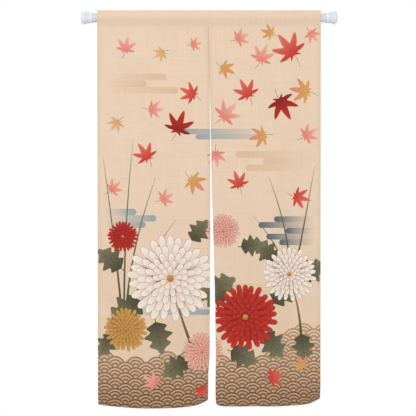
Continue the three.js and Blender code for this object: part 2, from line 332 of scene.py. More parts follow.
def pocket_path(seam_off):
    """The pocket's face from its crease down past its seam: distance along, off the middle, and height."""
    high = math.acos(POCKET_RADIUS / CREASE_HEIGHT)
    seam_reach = math.hypot(seam_off, SEAM_HEIGHT)
    low = math.pi - math.asin(seam_off / seam_reach) - math.acos(POCKET_RADIUS / seam_reach)
    turn = np.linspace(high, low, ROUND_STEPS)
    off = np.concatenate([[0], POCKET_RADIUS * np.sin(turn), [seam_off, seam_off]])
    below = SEAM_HEIGHT - PATH_BELOW
    height = np.concatenate([[CREASE_HEIGHT], POCKET_RADIUS * np.cos(turn), [SEAM_HEIGHT, below]])
    along = summed(np.hypot(np.diff(off), np.diff(height)), 0)
    even = np.arange(0, along[-1], PATH_STEP)
    return even, np.interp(even, along, off), np.interp(even, along, height), along[-2]


def softened(path):
    """The same path with its seam rounded, as cloth bends there."""
    along, off, height, seam = path
    reach = int(3 * SEAM_SOFTNESS / PATH_STEP)
    weights = np.exp(-0.5 * (np.arange(-reach, reach + 1) * PATH_STEP / SEAM_SOFTNESS) ** 2)
    weights /= weights.sum()
    smooth_off = np.convolve(np.pad(off, reach, mode="edge"), weights, "valid")
    where = ease(along, seam - SOFT_FROM, seam - SOFT_WHOLE)
    return along, off + where * (smooth_off - off), height, seam


FRONT_PATH = softened(pocket_path(FACE_OFF))
BACK_PATH = pocket_path(BACK_SEAM_OFF)
SEAM = FRONT_PATH[3]  # how far along the cloth the seam is from the crease
CLOTH_LENGTH = SEAM + CURTAIN_DROP - POCKET_DEPTH  # along the front, from the crease to the hem
print("pocket seam", round(SEAM, 4), "m and hem", round(CLOTH_LENGTH, 4), "m along the cloth")

# %% [markdown]
# ## Small unevenness
# Pressed linen is never quite flat. Stitches pull it in along the hems, the sewn middle dips where the two
# edges meet, the pocket puckers a little along its seam, and long soft creases run down from where the
# panels part. They are listed in a short table and added along the cloth's own outward direction.

# %% Creases
STITCH_FROM_SIDE = 0.0092
STITCH_FROM_HEM = 0.0202
STITCH_DENT = 0.0004
DENT_WIDTH = 0.0018
CREASE_RISE, CREASE_FALL = 0.3, 0.6  # shares of a crease's length between which it is whole
MIDDLE_DIP = 0.0028
MIDDLE_DIP_WIDTH = 0.0024
DIP_START, DIP_END = 0.03, 0.05  # over which the dip comes in below the seam, and goes above the slit
SLIT_EASE = 0.02  # past the slit's top
FREE_RUN = 0.02  # below the seam, over which the side hems become free
PUCKER, PUCKER_REACH, PUCKER_WAVES = 0.0005, 0.016, (0.061, 0.037, 0.023)
HEM_RIPPLE = 0.0006
SIDE_REACH, SIDE_WAVES = 0.030, (0.083, 0.047, 0.131)
BOTTOM_REACH, BOTTOM_WAVES = 0.045, (0.071, 0.043, 0.119)
RIPPLE_PHASE = 2.1  # in radians, from one wave of a ripple to the next

CREASES = [  # from x and down, to x and down, half width, height
    (-0.012, 0.300, -0.090, 0.640, 0.012, 0.0011),
    (0.012, 0.300, 0.070, 0.560, 0.010, 0.0010),
    (-0.230, 0.090, -0.205, 0.420, 0.016, -0.0008),
    (0.250, 0.090, 0.262, 0.380, 0.014, -0.0009),
    (-0.350, 0.520, -0.372, 1.050, 0.014, 0.0010),
    (0.150, 0.620, 0.136, 1.130, 0.015, 0.0011),
    (-0.060, 0.720, -0.048, 1.290, 0.012, -0.0010),
    (0.335, 0.760, 0.352, 1.260, 0.013, 0.0009),
    (-0.300, 1.120, -0.160, 1.400, 0.014, 0.0008),
    (0.080, 1.180, 0.190, 1.420, 0.012, -0.0007),
]
print(len(CREASES), "soft creases")


# %% Relief
def ripple(along, lengths):
    """An uneven wave between -1 and 1."""
    waves = [np.sin(2 * math.pi * along / length + RIPPLE_PHASE * k) for k, length in enumerate(lengths)]
    return sum(waves) / len(waves)


def relief(panel, x, height):
    """How far the cloth stands out from its drape, at a place across and along."""
    down = -height
    from_inner = np.abs(x) - PANEL_GAP / 2
    from_side = np.minimum(from_inner, CURTAIN_WIDTH / 2 - np.abs(x))
    from_hem = CLOTH_LENGTH - down
    free = ease(down, SEAM, SEAM + FREE_RUN)
    out = np.zeros_like(x)
    dents = [(from_side - STITCH_FROM_SIDE, free), (from_hem - STITCH_FROM_HEM, 1.0), (down - SEAM, 1.0)]
    for line, weight in dents:
        out -= STITCH_DENT * weight * np.exp(-((line / DENT_WIDTH) ** 2))
    apart = ease(down, SEWN_LENGTH - DIP_END, SEWN_LENGTH + SLIT_EASE)
    sewn = ease(down, SEAM, SEAM + DIP_START) * (1 - apart)
    out -= MIDDLE_DIP * sewn * np.exp(-((from_inner / MIDDLE_DIP_WIDTH) ** 2))
    out += PUCKER * ripple(x, PUCKER_WAVES) * np.exp(-(((down - SEAM) / PUCKER_REACH) ** 2))
    out += HEM_RIPPLE * ripple(down, SIDE_WAVES) * free * (1 - ease(from_side, 0, SIDE_REACH))
    out += HEM_RIPPLE * ripple(x, BOTTOM_WAVES) * (1 - ease(from_hem, 0, BOTTOM_REACH))
    for x0, d0, x1, d1, width, high in CREASES:
        if x0 * panel["side"] < 0:
            continue
        run = np.array([x1 - x0, d1 - d0])
        t = ((x - x0) * run[0] + (down - d0) * run[1]) / (run @ run)
        away = np.hypot(x - x0 - t * run[0], down - d0 - t * run[1])
        out += high * np.exp(-((away / width) ** 2)) * ease(t, 0, CREASE_RISE) * (1 - ease(t, CREASE_FALL, 1))
    return out


# %% Printed face
def draped(panel, x, height):
    """Places on the printed face, for places on the flat cloth, whose height is 0 at the crease."""
    far = np.abs(height)
    along, front_off, front_height, _ = FRONT_PATH
    back_off = np.interp(far, BACK_PATH[0], BACK_PATH[1])
    from_outer = CURTAIN_WIDTH / 2 - panel["side"] * x
    place = between(panel["grid"], from_outer, POCKET_DEPTH + np.maximum(far - SEAM, 0))
    in_front = height <= 0
    below = (far > SEAM) & in_front
    place[:, 1] = np.where(in_front, place[:, 1] - np.interp(far, along, front_off), back_off)
    place[:, 2] = np.where(below, place[:, 2], np.interp(far, along, front_height))
    return place


DRAPE_STEP = 0.0015  # to each side, to find which way the drape faces


def facing(place_of, panel, x, height, step):
    """The outward direction of a face, from its places a step to each side."""
    across = place_of(panel, x + step, height) - place_of(panel, x - step, height)
    up = place_of(panel, x, height + step) - place_of(panel, x, height - step)
    normal = np.cross(across, up)
    return normal / np.linalg.norm(normal, axis=1)[:, None]


# %% [markdown]
# ## Turned hems
# The sides and the bottom are turned to the back once and sewn down. A strip glued on behind would look
# like a strip, so the sheet itself is bent: past the fold line the flat cloth runs round a half circle and
# lies flat again, one layer further back. The same rule serves the sides and the bottom, and the corners
# are cut away as a sewer would do.

# %% Hem fold
LAYER = 0.0007  # of one thickness of linen
FOLD_RADIUS = 0.0008
FOLD_STEPS = 4
POCKET_TURN = 0.004  # of the back layer below the pocket's seam
CREASE_CLEAR = 0.012  # from the crease to where the side hems begin, inside the pocket
MEET = 0.00021  # by which each inner edge is drawn to the other where the two are sewn together
MEET_REACH = 0.006
MEET_FADE = 0.01
FOLD_RUN = math.pi * FOLD_RADIUS
SIDE_CUT = FOLD_RUN + SIDE_HEM - FOLD_RADIUS  # of cloth beyond a side's fold line
BOTTOM_CUT = FOLD_RUN + BOTTOM_HEM - FOLD_RADIUS
OUTER_FOLD = CURTAIN_WIDTH / 2 - FOLD_RADIUS  # fold lines, from the curtain's middle and down from its crease
INNER_FOLD = PANEL_GAP / 2 + FOLD_RADIUS
BOTTOM_FOLD = CLOTH_LENGTH - FOLD_RADIUS
CLOTH_TOP = SEAM + POCKET_TURN  # from the crease to the cut end of the pocket's back


# %% Bent hems
def turned(past, bend=1.0):
    """For cloth that runs past a fold line: how far past the line it lies, and how far behind."""
    angle = np.clip(past / FOLD_RADIUS, 0, math.pi)
    over = FOLD_RADIUS * np.sin(angle) - np.maximum(past - FOLD_RUN, 0)
    over = np.where(past > 0, over * bend + past * (1 - bend), past)
    return over, np.where(past > 0, FOLD_RADIUS * (1 - np.cos(angle)) * bend, 0)


def sewn_place(panel, x, height):
    """Places of the finished sheet for places on the flat cut cloth."""
    side = panel["side"]
    bend = ease(np.abs(height), CREASE_CLEAR / 2, CREASE_CLEAR)
    over_outer, behind_outer = turned(side * x - OUTER_FOLD, bend)
    over_inner, behind_inner = turned(INNER_FOLD - side * x, bend)
    over_low, behind_low = turned(-height - BOTTOM_FOLD)
    flat_x = side * np.where(side * x < INNER_FOLD, INNER_FOLD - over_inner, OUTER_FOLD + over_outer)
    flat_height = -(BOTTOM_FOLD + over_low)
    behind = behind_outer + behind_inner + behind_low
    push = relief(panel, flat_x, flat_height) - behind
    out = facing(draped, panel, flat_x, flat_height, DRAPE_STEP)
    place = draped(panel, flat_x, flat_height) + out * push[:, None]
    near = 1 - ease(side * flat_x, 0, MEET_REACH)
    sewn = 1 - ease(-flat_height, SEWN_LENGTH - MEET_FADE, SEWN_LENGTH + MEET_FADE)
    place[:, 0] -= side * MEET * near * sewn
    return place


# %% [markdown]
# ## The dyed pattern
# The cloth carries a plain old scheme of autumn: chrysanthemums and grasses over scalloped water, with
# maple leaves drifting down through bands of mist. It is drawn as outlines on the flat cloth, before
# anything is hung, just as a dyer works with stencils. Each outline has a colour at its root and one at its
# tip, so a petal can fade. Later outlines lie over earlier ones, and both panels share one drawing, so a
# flower runs on across the slit.


# %% Dyes
def linear(red, green, blue):
    """A colour given as on a screen, 0 to 255, as the linear numbers that light is reckoned in."""
    parts = np.array([red, green, blue]) / 255
    bright = ((parts + 0.055) / 1.055) ** 2.4
    return tuple(float(v) for v in np.where(parts > 0.04045, bright, parts / 12.92))


GROUND = linear(235, 209, 183)
GROUND_LOW = linear(231, 203, 175)
INK = linear(92, 72, 62)
MIST = linear(222, 192, 158)
WHITE = linear(247, 238, 226)
SHELL = linear(226, 196, 176)
LINE = linear(168, 132, 112)
RED = linear(203, 56, 43)
DEEP_RED = linear(140, 32, 30)
CORAL = linear(228, 126, 110)
ROSE = linear(242, 188, 172)
GOLD = linear(212, 164, 88)
OCHRE = linear(168, 112, 56)
SLATE = linear(96, 108, 122)
HAZE = linear(158, 166, 170)
TAN = linear(190, 152, 116)
UMBER = linear(104, 76, 56)
OLIVE = linear(72, 72, 52)
SAGE = linear(132, 126, 96)
print("ground", [round(part, 3) for part in GROUND])

# %% Outlines
design = []  # outlines in the order in which they are dyed, with two colours and the line between them


def mixed(first, second, part):
    """A dye between two dyes."""
    return np.array(first) * (1 - part) + np.array(second) * part


def dye(outline, root_colour, tip_colour=None, root=(0, 0), tip=(0, 1)):
    """Adds an outline of places across and down the cloth, in one dye or from one dye to another."""
    design.append({
        "outline": np.asarray(outline, float),
        "colours": (root_colour, root_colour if tip_colour is None else tip_colour),
        "root": np.asarray(root, float),
        "run": np.asarray(tip, float) - np.asarray(root, float),
    })


def ribbon(spine, half_widths):
    """The outline of a strip along a line of places."""
    spine = np.asarray(spine, float)
    along = np.gradient(spine, axis=0)
    aside = np.stack([-along[:, 1], along[:, 0]], 1) / np.linalg.norm(along, axis=1)[:, None]
    aside *= np.asarray(half_widths)[:, None]
    return np.concatenate([spine + aside, (spine - aside)[::-1]])


def bow(start, middle, end, steps):
    """Places along a curve that is pulled towards its middle point."""
    t = np.linspace(0, 1, steps)[:, None]
    start, middle, end = (np.asarray(p, float) for p in (start, middle, end))
    return start * (1 - t) ** 2 + middle * 2 * t * (1 - t) + end * t**2


def on_ring(x, down, radius, angles):
    """Places on a ring round a place, at angles from its top."""
    return np.stack([x + radius * np.sin(angles), down - radius * np.cos(angles)], 1)


def directions(angle):
    """The direction at an angle from straight up, and the one across it."""
    ahead = np.array([math.sin(angle), -math.cos(angle)])
    return ahead, np.array([-ahead[1], ahead[0]])


# %% Mist
MIST_FADE, MIST_PAST = 0.40, 0.08  # across, where a bar has faded out, and how far past its end
BAR_END_STEPS = 9
MIST_BANKS = [  # dye, half height of a bar, down to the first bar, left and right end of each bar
    (MIST, 0.0125, 0.262, [(-0.60, -0.175), (-0.60, -0.250), (-0.60, -0.130)]),
    (MIST, 0.0125, 0.556, [(0.110, 0.60), (0.215, 0.60), (0.150, 0.60)]),
    (HAZE, 0.0120, 0.772, [(-0.60, -0.290), (-0.60, -0.215), (-0.60, -0.255)]),
    (HAZE, 0.0100, 0.468, [(-0.095, 0.150), (-0.045, 0.205)]),
    (SLATE, 0.0110, 0.801, [(0.255, 0.60), (0.195, 0.60), (0.300, 0.60), (0.225, 0.60), (0.275, 0.60)]),
    (HAZE, 0.0110, 1.128, [(-0.60, -0.050), (-0.60, -0.010)]),
    (MIST, 0.0110, 1.056, [(0.010, 0.60), (0.055, 0.60)]),
]


def mist_bar(left, right, down, half, mist_dye):
    """A bar with round ends, whose dye fades out along it."""
    ends = np.linspace(-math.pi / 2, math.pi / 2, BAR_END_STEPS)
    round_end = half * np.stack([np.cos(ends), np.sin(ends)], 1)
    outline = np.concatenate([(right, down) + round_end, (left, down) - round_end])
    dark, clear = left, min(right + MIST_PAST, MIST_FADE)
    if left < -CURTAIN_WIDTH / 2:
        dark, clear = right, -MIST_FADE
    dye(outline, mist_dye, GROUND, (dark, down), (clear, down))


for mist_dye, half, down, bars in MIST_BANKS:
    for number, (left, right) in enumerate(bars):
        mist_bar(left, right, round(down + 2 * half * number, 4), half, mist_dye)
print(len(design), "bars of mist")

# %% Water
WAVE_RADIUS, WAVE_DISC = 0.040, 0.0366  # of a scallop's rim, and of the dye below it
WAVE_BANDS = [(1.0, 0.84), (0.70, 0.54), (0.40, 0.20)]  # outer and inner radius of each band, as shares
WAVE_TOP, WAVE_RISE = 1.345, 0.105  # down to the water in the middle, and how much higher it is at the right
LEFT_RISE, SWELL, SWELL_RUN = 0.05, 0.022, 0.085
RIGHT_BANK, LEFT_BANK = (0.04, 0.40), (0.27, 0.43)  # from the middle, over which it rises
DISC_SIDES, ANGLE_STEPS = 23, 361
WAVE_PALENESS, PALE_AT = 0.35, 0.4  # of a band at its palest, and the share of its inner radius where that is
ARC_LEAST, ARC_MORE = 5, 9  # places along an arc: the fewest, and those that a whole radius adds
DEEP_FROM, DEEP_TO = WAVE_TOP - WAVE_RISE - 0.03, CLOTH_LENGTH - 0.02  # down, over which the bands darken
FIRST_ROW, WAVE_ROWS, WAVE_COLUMNS = 1.215, 18, range(-7, 8)
WAVE_SIDE, WAVE_PAST = 0.475, 0.06  # how far out, and how far below the hem, scallops are drawn


def wave_edge(x):
    """How far down the water begins."""
    swell = SWELL * math.sin(x / SWELL_RUN)
    return WAVE_TOP - WAVE_RISE * ease(x, *RIGHT_BANK) + swell - LEFT_RISE * ease(-x, *LEFT_BANK)


# %% Scallops
def open_angle(radius):
    """How far a scallop's ring shows to each side of its top, before the next row covers it."""
    angle = np.linspace(0, math.pi, ANGLE_STEPS)
    x, up = radius * np.sin(angle), radius * np.cos(angle)
    covered = (x - WAVE_RADIUS) ** 2 + (up + WAVE_RADIUS / 2) ** 2 < WAVE_RADIUS**2
    covered |= x**2 + (up + WAVE_RADIUS) ** 2 < WAVE_RADIUS**2
    return angle[np.argmax(covered)] if covered.any() else math.pi


def open_arc(x, down, radius, steps):
    """Places along the part of a scallop's ring that shows."""
    limit = open_angle(radius)
    return on_ring(x, down, radius, np.linspace(-limit, limit, steps))


def wave(x, down):
    """A scallop: a disc of dye with a band along each of its rings."""
    around = np.linspace(0, 2 * math.pi, DISC_SIDES, endpoint=False)
    disc = on_ring(x, down, WAVE_DISC, around)
    dye(disc, GROUND_LOW, TAN, (x, WAVE_TOP - WAVE_RISE), (x, CLOTH_LENGTH))
    deep = mixed(TAN, UMBER, share(down, DEEP_FROM, DEEP_TO))
    for outer, inner in WAVE_BANDS:
        steps = ARC_LEAST + round(ARC_MORE * outer)
        over = open_arc(x, down, outer * WAVE_RADIUS, steps)
        ends = open_arc(x, down, 0.5 * (outer + inner) * WAVE_RADIUS, 2)
        under = open_arc(x, down, inner * WAVE_RADIUS, steps)
        outline = np.concatenate([over, ends[1:], under[::-1], ends[:1]])
        root, tip = (x, down - outer * WAVE_RADIUS), (x, down - inner * WAVE_RADIUS * PALE_AT)
        dye(outline, deep, mixed(deep, TAN, WAVE_PALENESS), root, tip)


scallops = 0
for row in range(WAVE_ROWS):
    for column in WAVE_COLUMNS:
        x = (2 * column + row % 2) * WAVE_RADIUS
        down = FIRST_ROW + row * WAVE_RADIUS / 2
        if abs(x) < WAVE_SIDE and wave_edge(x) < down < CLOTH_LENGTH + WAVE_PAST:
            wave(x, down)
            scallops += 1
print(scallops, "scallops of water")

# %% Grasses
BLADES = [  # root, pull and tip, each across and down, and half width
    ((-0.322, 1.255), (-0.320, 0.960), (-0.205, 0.640), 0.0042),
    ((-0.328, 1.250), (-0.345, 0.980), (-0.405, 0.560), 0.0040),
    ((-0.318, 1.255), (-0.290, 1.020), (-0.130, 0.800), 0.0040),
    ((-0.325, 1.250), (-0.330, 0.860), (-0.290, 0.500), 0.0036),
    ((0.308, 1.070), (0.318, 0.880), (0.225, 0.640), 0.0040),
    ((0.312, 1.070), (0.352, 0.880), (0.402, 0.600), 0.0038),
    ((0.304, 1.065), (0.290, 0.930), (0.165, 0.790), 0.0036),
    ((0.350, 1.300), (0.356, 1.160), (0.306, 1.030), 0.0050),
    ((-0.048, 1.330), (-0.100, 1.200), (-0.148, 1.040), 0.0056),
]
BLADE_STEPS, BLADE_TIP = 16, 0.0005
BLADE_SWELL, BLADE_TAPER = (-0.1, 0.25), 1.6  # shares over which it widens, and power by which it narrows
for root, pull, tip, half in BLADES:
    along = np.linspace(0, 1, BLADE_STEPS)
    width = half * ease(along, *BLADE_SWELL) * (1 - along**BLADE_TAPER) + BLADE_TIP
    dye(ribbon(bow(root, pull, tip, BLADE_STEPS), width), OLIVE, SAGE, root, tip)
print(len(BLADES), "blades of grass")

# %% Leaves
LEAF_HALF, LOBE_DEPTH = 0.34, 0.30  # half width as a share of the length, and depth of its lobes as a share
LOBE_COUNT = 3.5  # to a side
LEAF_STEPS, LEAF_POWER = 25, 0.8  # the power makes a leaf fuller, and widest below its middle
MIDRIB, MIDRIB_WIDTHS = np.linspace(-0.12, 0.9, 9), np.linspace(0.0016, 0.0005, 9)
VEIN_STARTS, VEIN_WIDTHS = (0.2, 0.42, 0.64), (0.0009, 0.0007, 0.0004)
VEIN_AHEAD, VEIN_ASIDE = np.array([0.0, 0.1, 0.18]), np.array([0.0, 0.10, 0.17])


def leaf(x, down, degrees, length):
    """A lobed leaf with its veins, at an angle from straight up."""
    ahead, aside = directions(math.radians(degrees))

    def at(t, w):
        """Places along the leaf and to its side."""
        return np.array([x, down]) + np.outer(t * length, ahead) + np.outer(w * length, aside)

    t = np.linspace(0, 1, LEAF_STEPS)
    lobed = 1 + LOBE_DEPTH * np.cos(2 * math.pi * LOBE_COUNT * t + math.pi)
    width = LEAF_HALF * np.sin(math.pi * t**LEAF_POWER) ** LEAF_POWER * lobed
    outline = np.concatenate([at(t, width), at(t[-2:0:-1], -width[-2:0:-1])])
    dye(outline, OLIVE, SAGE, (x, down), np.array([x, down]) + ahead * length)
    dye(ribbon(at(MIDRIB, np.zeros(len(MIDRIB))), MIDRIB_WIDTHS), INK)
    for start in VEIN_STARTS:
        for way in (-1, 1):
            dye(ribbon(at(start + VEIN_AHEAD, way * VEIN_ASIDE), VEIN_WIDTHS), INK)


LEAVES = [  # across, down, degrees, length
    (-0.262, 1.105, -128, 0.150), (-0.020, 1.085, 62, 0.130), (-0.205, 1.185, 168, 0.125),
    (-0.335, 0.985, -52, 0.115), (0.055, 1.110, -64, 0.110), (0.242, 1.120, 42, 0.125),
    (0.205, 1.232, 142, 0.120), (-0.085, 1.330, -122, 0.110), (0.075, 1.300, 112, 0.115),
    (0.355, 1.020, 60, 0.110), (0.250, 0.955, -48, 0.105), (-0.070, 0.880, 38, 0.100),
    (0.115, 0.905, 84, 0.095), (-0.372, 1.235, -150, 0.095), (0.352, 1.238, 172, 0.105),
]
for values in LEAVES:
    leaf(*values)
print(len(LEAVES), "leaves")

# %% Chrysanthemums
PETAL = np.array([  # along a petal, and its half width, as shares
    (0.0, 0.46), (0.3, 0.68), (0.55, 0.93), (0.72, 1.0), (0.86, 0.89), (0.95, 0.58), (1.0, 0.0),
])
RINGS = [  # petals, inner and outer radius as shares
    (25, 0.46, 1.00), (22, 0.36, 0.80), (19, 0.25, 0.61), (14, 0.14, 0.43), (9, 0.05, 0.27),
]
PETAL_LINE = 0.0011  # width of the line round a petal
PETAL_LEAST = 0.0002  # half width of a petal's fill where it is narrowest
PETAL_FILL = 0.92 * math.pi * 0.76  # half widths of a ring's petals together, as a share of its radius
PETAL_SWAY, PETAL_UNEVENNESS = 0.05, 0.035  # in radians, and as a share of its length
SWAY_TURN, LENGTH_TURN, LENGTH_SHIFT = 5.0, 3.7, 1.9  # in radians, by which petals and rings differ
BLOOM_SIDES = 32
BLOOM_DISC, BLOOM_EYE = 0.74, 0.085  # radius of the dye below the petals, and of the middle, as shares
BLOOMS = [  # across, down, radius, root colour, tip colour, line colour
    (-0.330, 0.865, 0.058, DEEP_RED, RED, DEEP_RED),
    (0.048, 0.845, 0.064, CORAL, ROSE, LINE),
    (0.305, 1.010, 0.104, SHELL, WHITE, LINE),
    (-0.318, 1.215, 0.082, OCHRE, GOLD, OCHRE),
    (0.132, 1.172, 0.124, DEEP_RED, RED, DEEP_RED),
    (-0.028, 1.300, 0.074, CORAL, ROSE, LINE),
    (-0.150, 1.022, 0.162, SHELL, WHITE, LINE),
]
print(len(BLOOMS), "flowers of", sum(count for count, _, _ in RINGS), "petals")


# %% Petals
def petal(x, down, angle, inner, outer, half, inset):
    """The outline of a petal, drawn in by a line's width where it is the fill."""
    ahead, aside = directions(angle)
    along = inner + (outer - inset - inner) * PETAL[:, 0]
    width = np.maximum(half * PETAL[:, 1] - inset, PETAL_LEAST) * (PETAL[:, 1] > 0)
    middle = np.array([x, down]) + np.outer(along, ahead)
    left, right = middle + np.outer(width, aside), middle - np.outer(width, aside)
    return np.concatenate([left, right[-2::-1]])


def bloom(x, down, radius, root_colour, tip_colour, line_colour):
    """A chrysanthemum: rings of petals, each dyed over its own line, and a round middle."""
    centre = np.array([x, down])
    angles = np.linspace(0, 2 * math.pi, BLOOM_SIDES, endpoint=False)
    circle = np.stack([np.cos(angles), np.sin(angles)], 1)
    dye(centre + BLOOM_DISC * radius * circle, line_colour)
    for ring, (count, inner, outer) in enumerate(RINGS):
        for k in range(count):
            sway = PETAL_SWAY * math.sin(SWAY_TURN * k + ring)
            angle = 2 * math.pi * (k + 0.5 * (ring % 2)) / count + sway
            uneven = PETAL_UNEVENNESS * math.sin(LENGTH_TURN * k + LENGTH_SHIFT * ring)
            long = radius * outer * (1 + uneven)
            half = PETAL_FILL * radius * outer / count
            ahead, _ = directions(angle)
            root, tip = centre + radius * inner * ahead, centre + long * ahead
            dye(petal(x, down, angle, radius * inner, long, half, 0), line_colour)
            fill = petal(x, down, angle, radius * inner, long, half, PETAL_LINE)
            dye(fill, root_colour, tip_colour, root, tip)
    eye = BLOOM_EYE * radius
    dye(centre + eye * circle[::2], OCHRE, GOLD, (x, down + eye), (x, down - eye))


for values in BLOOMS:
    bloom(*values)
print(len(design), "outlines so far")

# %% Drifting maple leaves
LOBES = [  # degrees from the middle lobe, length as a share
    (-132, 0.34), (-88, 0.66), (-44, 0.90), (0, 1.0), (44, 0.90), (88, 0.66), (132, 0.34),
]
LOBE_POINTS = [(-13, 0.60), (-5, 0.86), (0, 1.0), (5, 0.86), (13, 0.60)]  # degrees and share, round a lobe
NOTCH_SHARE, NOTCH_LEAST = 0.40, 0.06  # of the way out to a notch, by its shorter lobe
MAPLE_FOOT, MAPLE_ROOT = 0.10, 0.15  # from its middle back to its outline, and to where its dye starts
MAPLE_VEIN = (0.0008, 0.0006, 0.0003)  # half widths
VEIN_ROOT, VEIN_BEND, VEIN_TIP = 0.06, 0.4, 0.82  # the first as a share of the leaf, the others of a lobe
STALK, STALK_WIDTHS = ((180, 0.0), (172, 0.3), (190, 0.62)), np.linspace(0.0010, 0.0006, 6)
MAPLE_LEAVES = [  # across, down, size, degrees, root colour, tip colour
    (0.318, 0.172, 0.092, -38, RED, CORAL), (0.196, 0.196, 0.066, 24, CORAL, ROSE),
    (0.372, 0.318, 0.070, -80, GOLD, CORAL), (0.110, 0.118, 0.052, 66, CORAL, ROSE),
    (0.268, 0.352, 0.084, 150, DEEP_RED, RED), (0.148, 0.330, 0.070, -28, RED, CORAL),
    (0.052, 0.226, 0.052, 118, GOLD, CORAL), (0.052, 0.412, 0.074, 44, CORAL, ROSE),
    (0.206, 0.484, 0.060, -104, GOLD, CORAL), (-0.062, 0.330, 0.060, -62, RED, CORAL),
    (-0.124, 0.462, 0.080, 20, DEEP_RED, RED), (0.022, 0.552, 0.056, 172, CORAL, ROSE),
    (-0.222, 0.384, 0.052, 92, CORAL, ROSE), (-0.236, 0.566, 0.066, -34, RED, CORAL),
    (-0.070, 0.650, 0.064, 132, GOLD, CORAL), (0.112, 0.672, 0.060, -20, RED, CORAL),
    (-0.180, 0.724, 0.050, 64, CORAL, ROSE), (-0.348, 0.432, 0.048, -140, GOLD, ROSE),
    (-0.318, 0.160, 0.056, 12, CORAL, ROSE), (-0.176, 0.170, 0.044, -120, GOLD, ROSE),
    (-0.062, 0.140, 0.040, 80, CORAL, ROSE), (0.366, 0.486, 0.056, 58, CORAL, ROSE),
    (0.330, 0.716, 0.060, 104, RED, CORAL), (0.232, 1.402, 0.060, 74, RED, CORAL),
    (-0.205, 1.418, 0.054, -56, CORAL, ROSE), (0.356, 1.362, 0.050, -24, GOLD, CORAL),
    (-0.372, 0.688, 0.050, 48, CORAL, ROSE), (0.386, 0.096, 0.046, 140, CORAL, ROSE),
    (0.238, 0.098, 0.044, -70, GOLD, CORAL), (-0.036, 1.440, 0.050, 146, RED, CORAL),
]
print(len(MAPLE_LEAVES), "maple leaves")


# %% Lobes and veins
def maple(x, down, size, turn, root_colour, tip_colour):
    """A maple leaf: its stalk, its lobes with notches between them, and its veins."""

    def spot(degrees, part):
        """A place at an angle from the middle lobe, and at a share of the leaf's size."""
        return np.array([x, down]) + size * part * directions(math.radians(degrees + turn))[0]

    outline = [spot(180, MAPLE_FOOT)]
    for k, (degrees, length) in enumerate(LOBES):
        outline += [spot(degrees + off, part * length) for off, part in LOBE_POINTS]
        if k + 1 < len(LOBES):
            following, other = LOBES[k + 1]
            outline.append(spot((degrees + following) / 2, NOTCH_SHARE * min(length, other) + NOTCH_LEAST))
    stalk = bow(*(spot(*place) for place in STALK), len(STALK_WIDTHS))
    dye(ribbon(stalk, STALK_WIDTHS), INK)
    dye(outline, root_colour, tip_colour, spot(180, MAPLE_ROOT), spot(0, 1.0))
    for degrees, length in LOBES[1:-1]:
        vein = [spot(degrees, part) for part in (VEIN_ROOT, VEIN_BEND * length, VEIN_TIP * length)]
        dye(ribbon(vein, MAPLE_VEIN), root_colour)


for values in MAPLE_LEAVES:
    maple(*values)
print(len(design), "outlines in the pattern")

# %% [markdown]
# ## From flat cloth to hung sheet
# A picture on cloth is usually an image texture. This one stays geometry: Delaunay triangulation cuts the
# flat cloth along every outline, so each triangle has one dye, that of the last outline round its middle,
# and its edges stay sharp at any distance. Extra rows follow the folds, the stitches and the pocket. Then
# every corner moves to its place on the drape, keeps its colour in a colour attribute, and keeps its flat
# place as a UV map, which the weave follows. The reverse lies one thickness behind the printed face, and a
# narrow wall closes the cut edges.

# %% Flat cut
GRID_STEP, FINE_STEP = 0.0105, 0.0055  # between loose places, and near the hem
LINE_STEP = 0.012  # along rows and outlines, at most
CURL_STEP, POCKET_STEP = 0.0022, 0.0028  # between rows
GRID_BELOW_SEAM, GRID_ABOVE_HEM, FINE_ABOVE_HEM = 0.045, 0.026, 0.12
GRID_FROM_OUTER, GRID_FROM_INNER = 0.015, 0.014
MIDDLE_ROWS = (0.0007, 0.0014, 0.0022, 0.0032, 0.0048)  # from the sewn middle
ROWS_BELOW_SEAM = 0.040
CORNER_CLEAR = 0.002  # between a side hem and the bottom hem, where the corner is cut away
CUT_TOLERANCE = 3e-5


class FlatCut:
    """The places, lines and outlines that cut a flat panel into triangles."""

    def __init__(self):
        self.points, self.edges, self.boxes = [], [], []

    def line(self, fixed, first, last, upright):
        """A straight row of places, joined by edges."""
        count = max(1, round(abs(last - first) / LINE_STEP))
        start = len(self.points)
        for value in np.linspace(first, last, count + 1):
            self.points.append((fixed, value) if upright else (value, fixed))
        self.edges += [(start + i, start + i + 1) for i in range(count)]

    def outline(self, places):
        """A closed outline."""
        start = len(self.points)
        for place, following in zip(places, np.roll(places, -1, 0)):
            count = math.ceil(np.hypot(*(following - place)) / LINE_STEP)
            self.points += [tuple(place + (following - place) * k / count) for k in range(count)]
        around = range(start, len(self.points))
        self.edges += zip(around, [*around[1:], start])

    def box(self, x0, x1, low, high):
        """A stretch of the cloth."""
        self.boxes.append(np.array([(x0, low), (x1, low), (x1, high), (x0, high)]))
        self.outline(self.boxes[-1])


# %% Cloth and rows
def cut_boxes(cut, side):
    """The cloth before hemming: the body, the bottom hem, and the side hems below and behind the crease."""
    outer, inner, bottom = side * OUTER_FOLD, side * INNER_FOLD, -BOTTOM_FOLD
    low = -(CLOTH_LENGTH - BOTTOM_HEM - CORNER_CLEAR)
    cut.box(*sorted((inner, outer)), bottom, CLOTH_TOP)
    cut.box(*sorted((inner, outer)), bottom - BOTTOM_CUT, bottom)
    side_hems = [(low, -CREASE_CLEAR, SIDE_CUT), (CREASE_CLEAR, SEAM, SIDE_CUT)]
    side_hems.append((-CREASE_CLEAR, CREASE_CLEAR, FOLD_RADIUS))
    for fold, away in ((outer, side), (inner, -side)):
        for first, last, width in side_hems:
            cut.box(*sorted((fold, fold + away * width)), first, last)


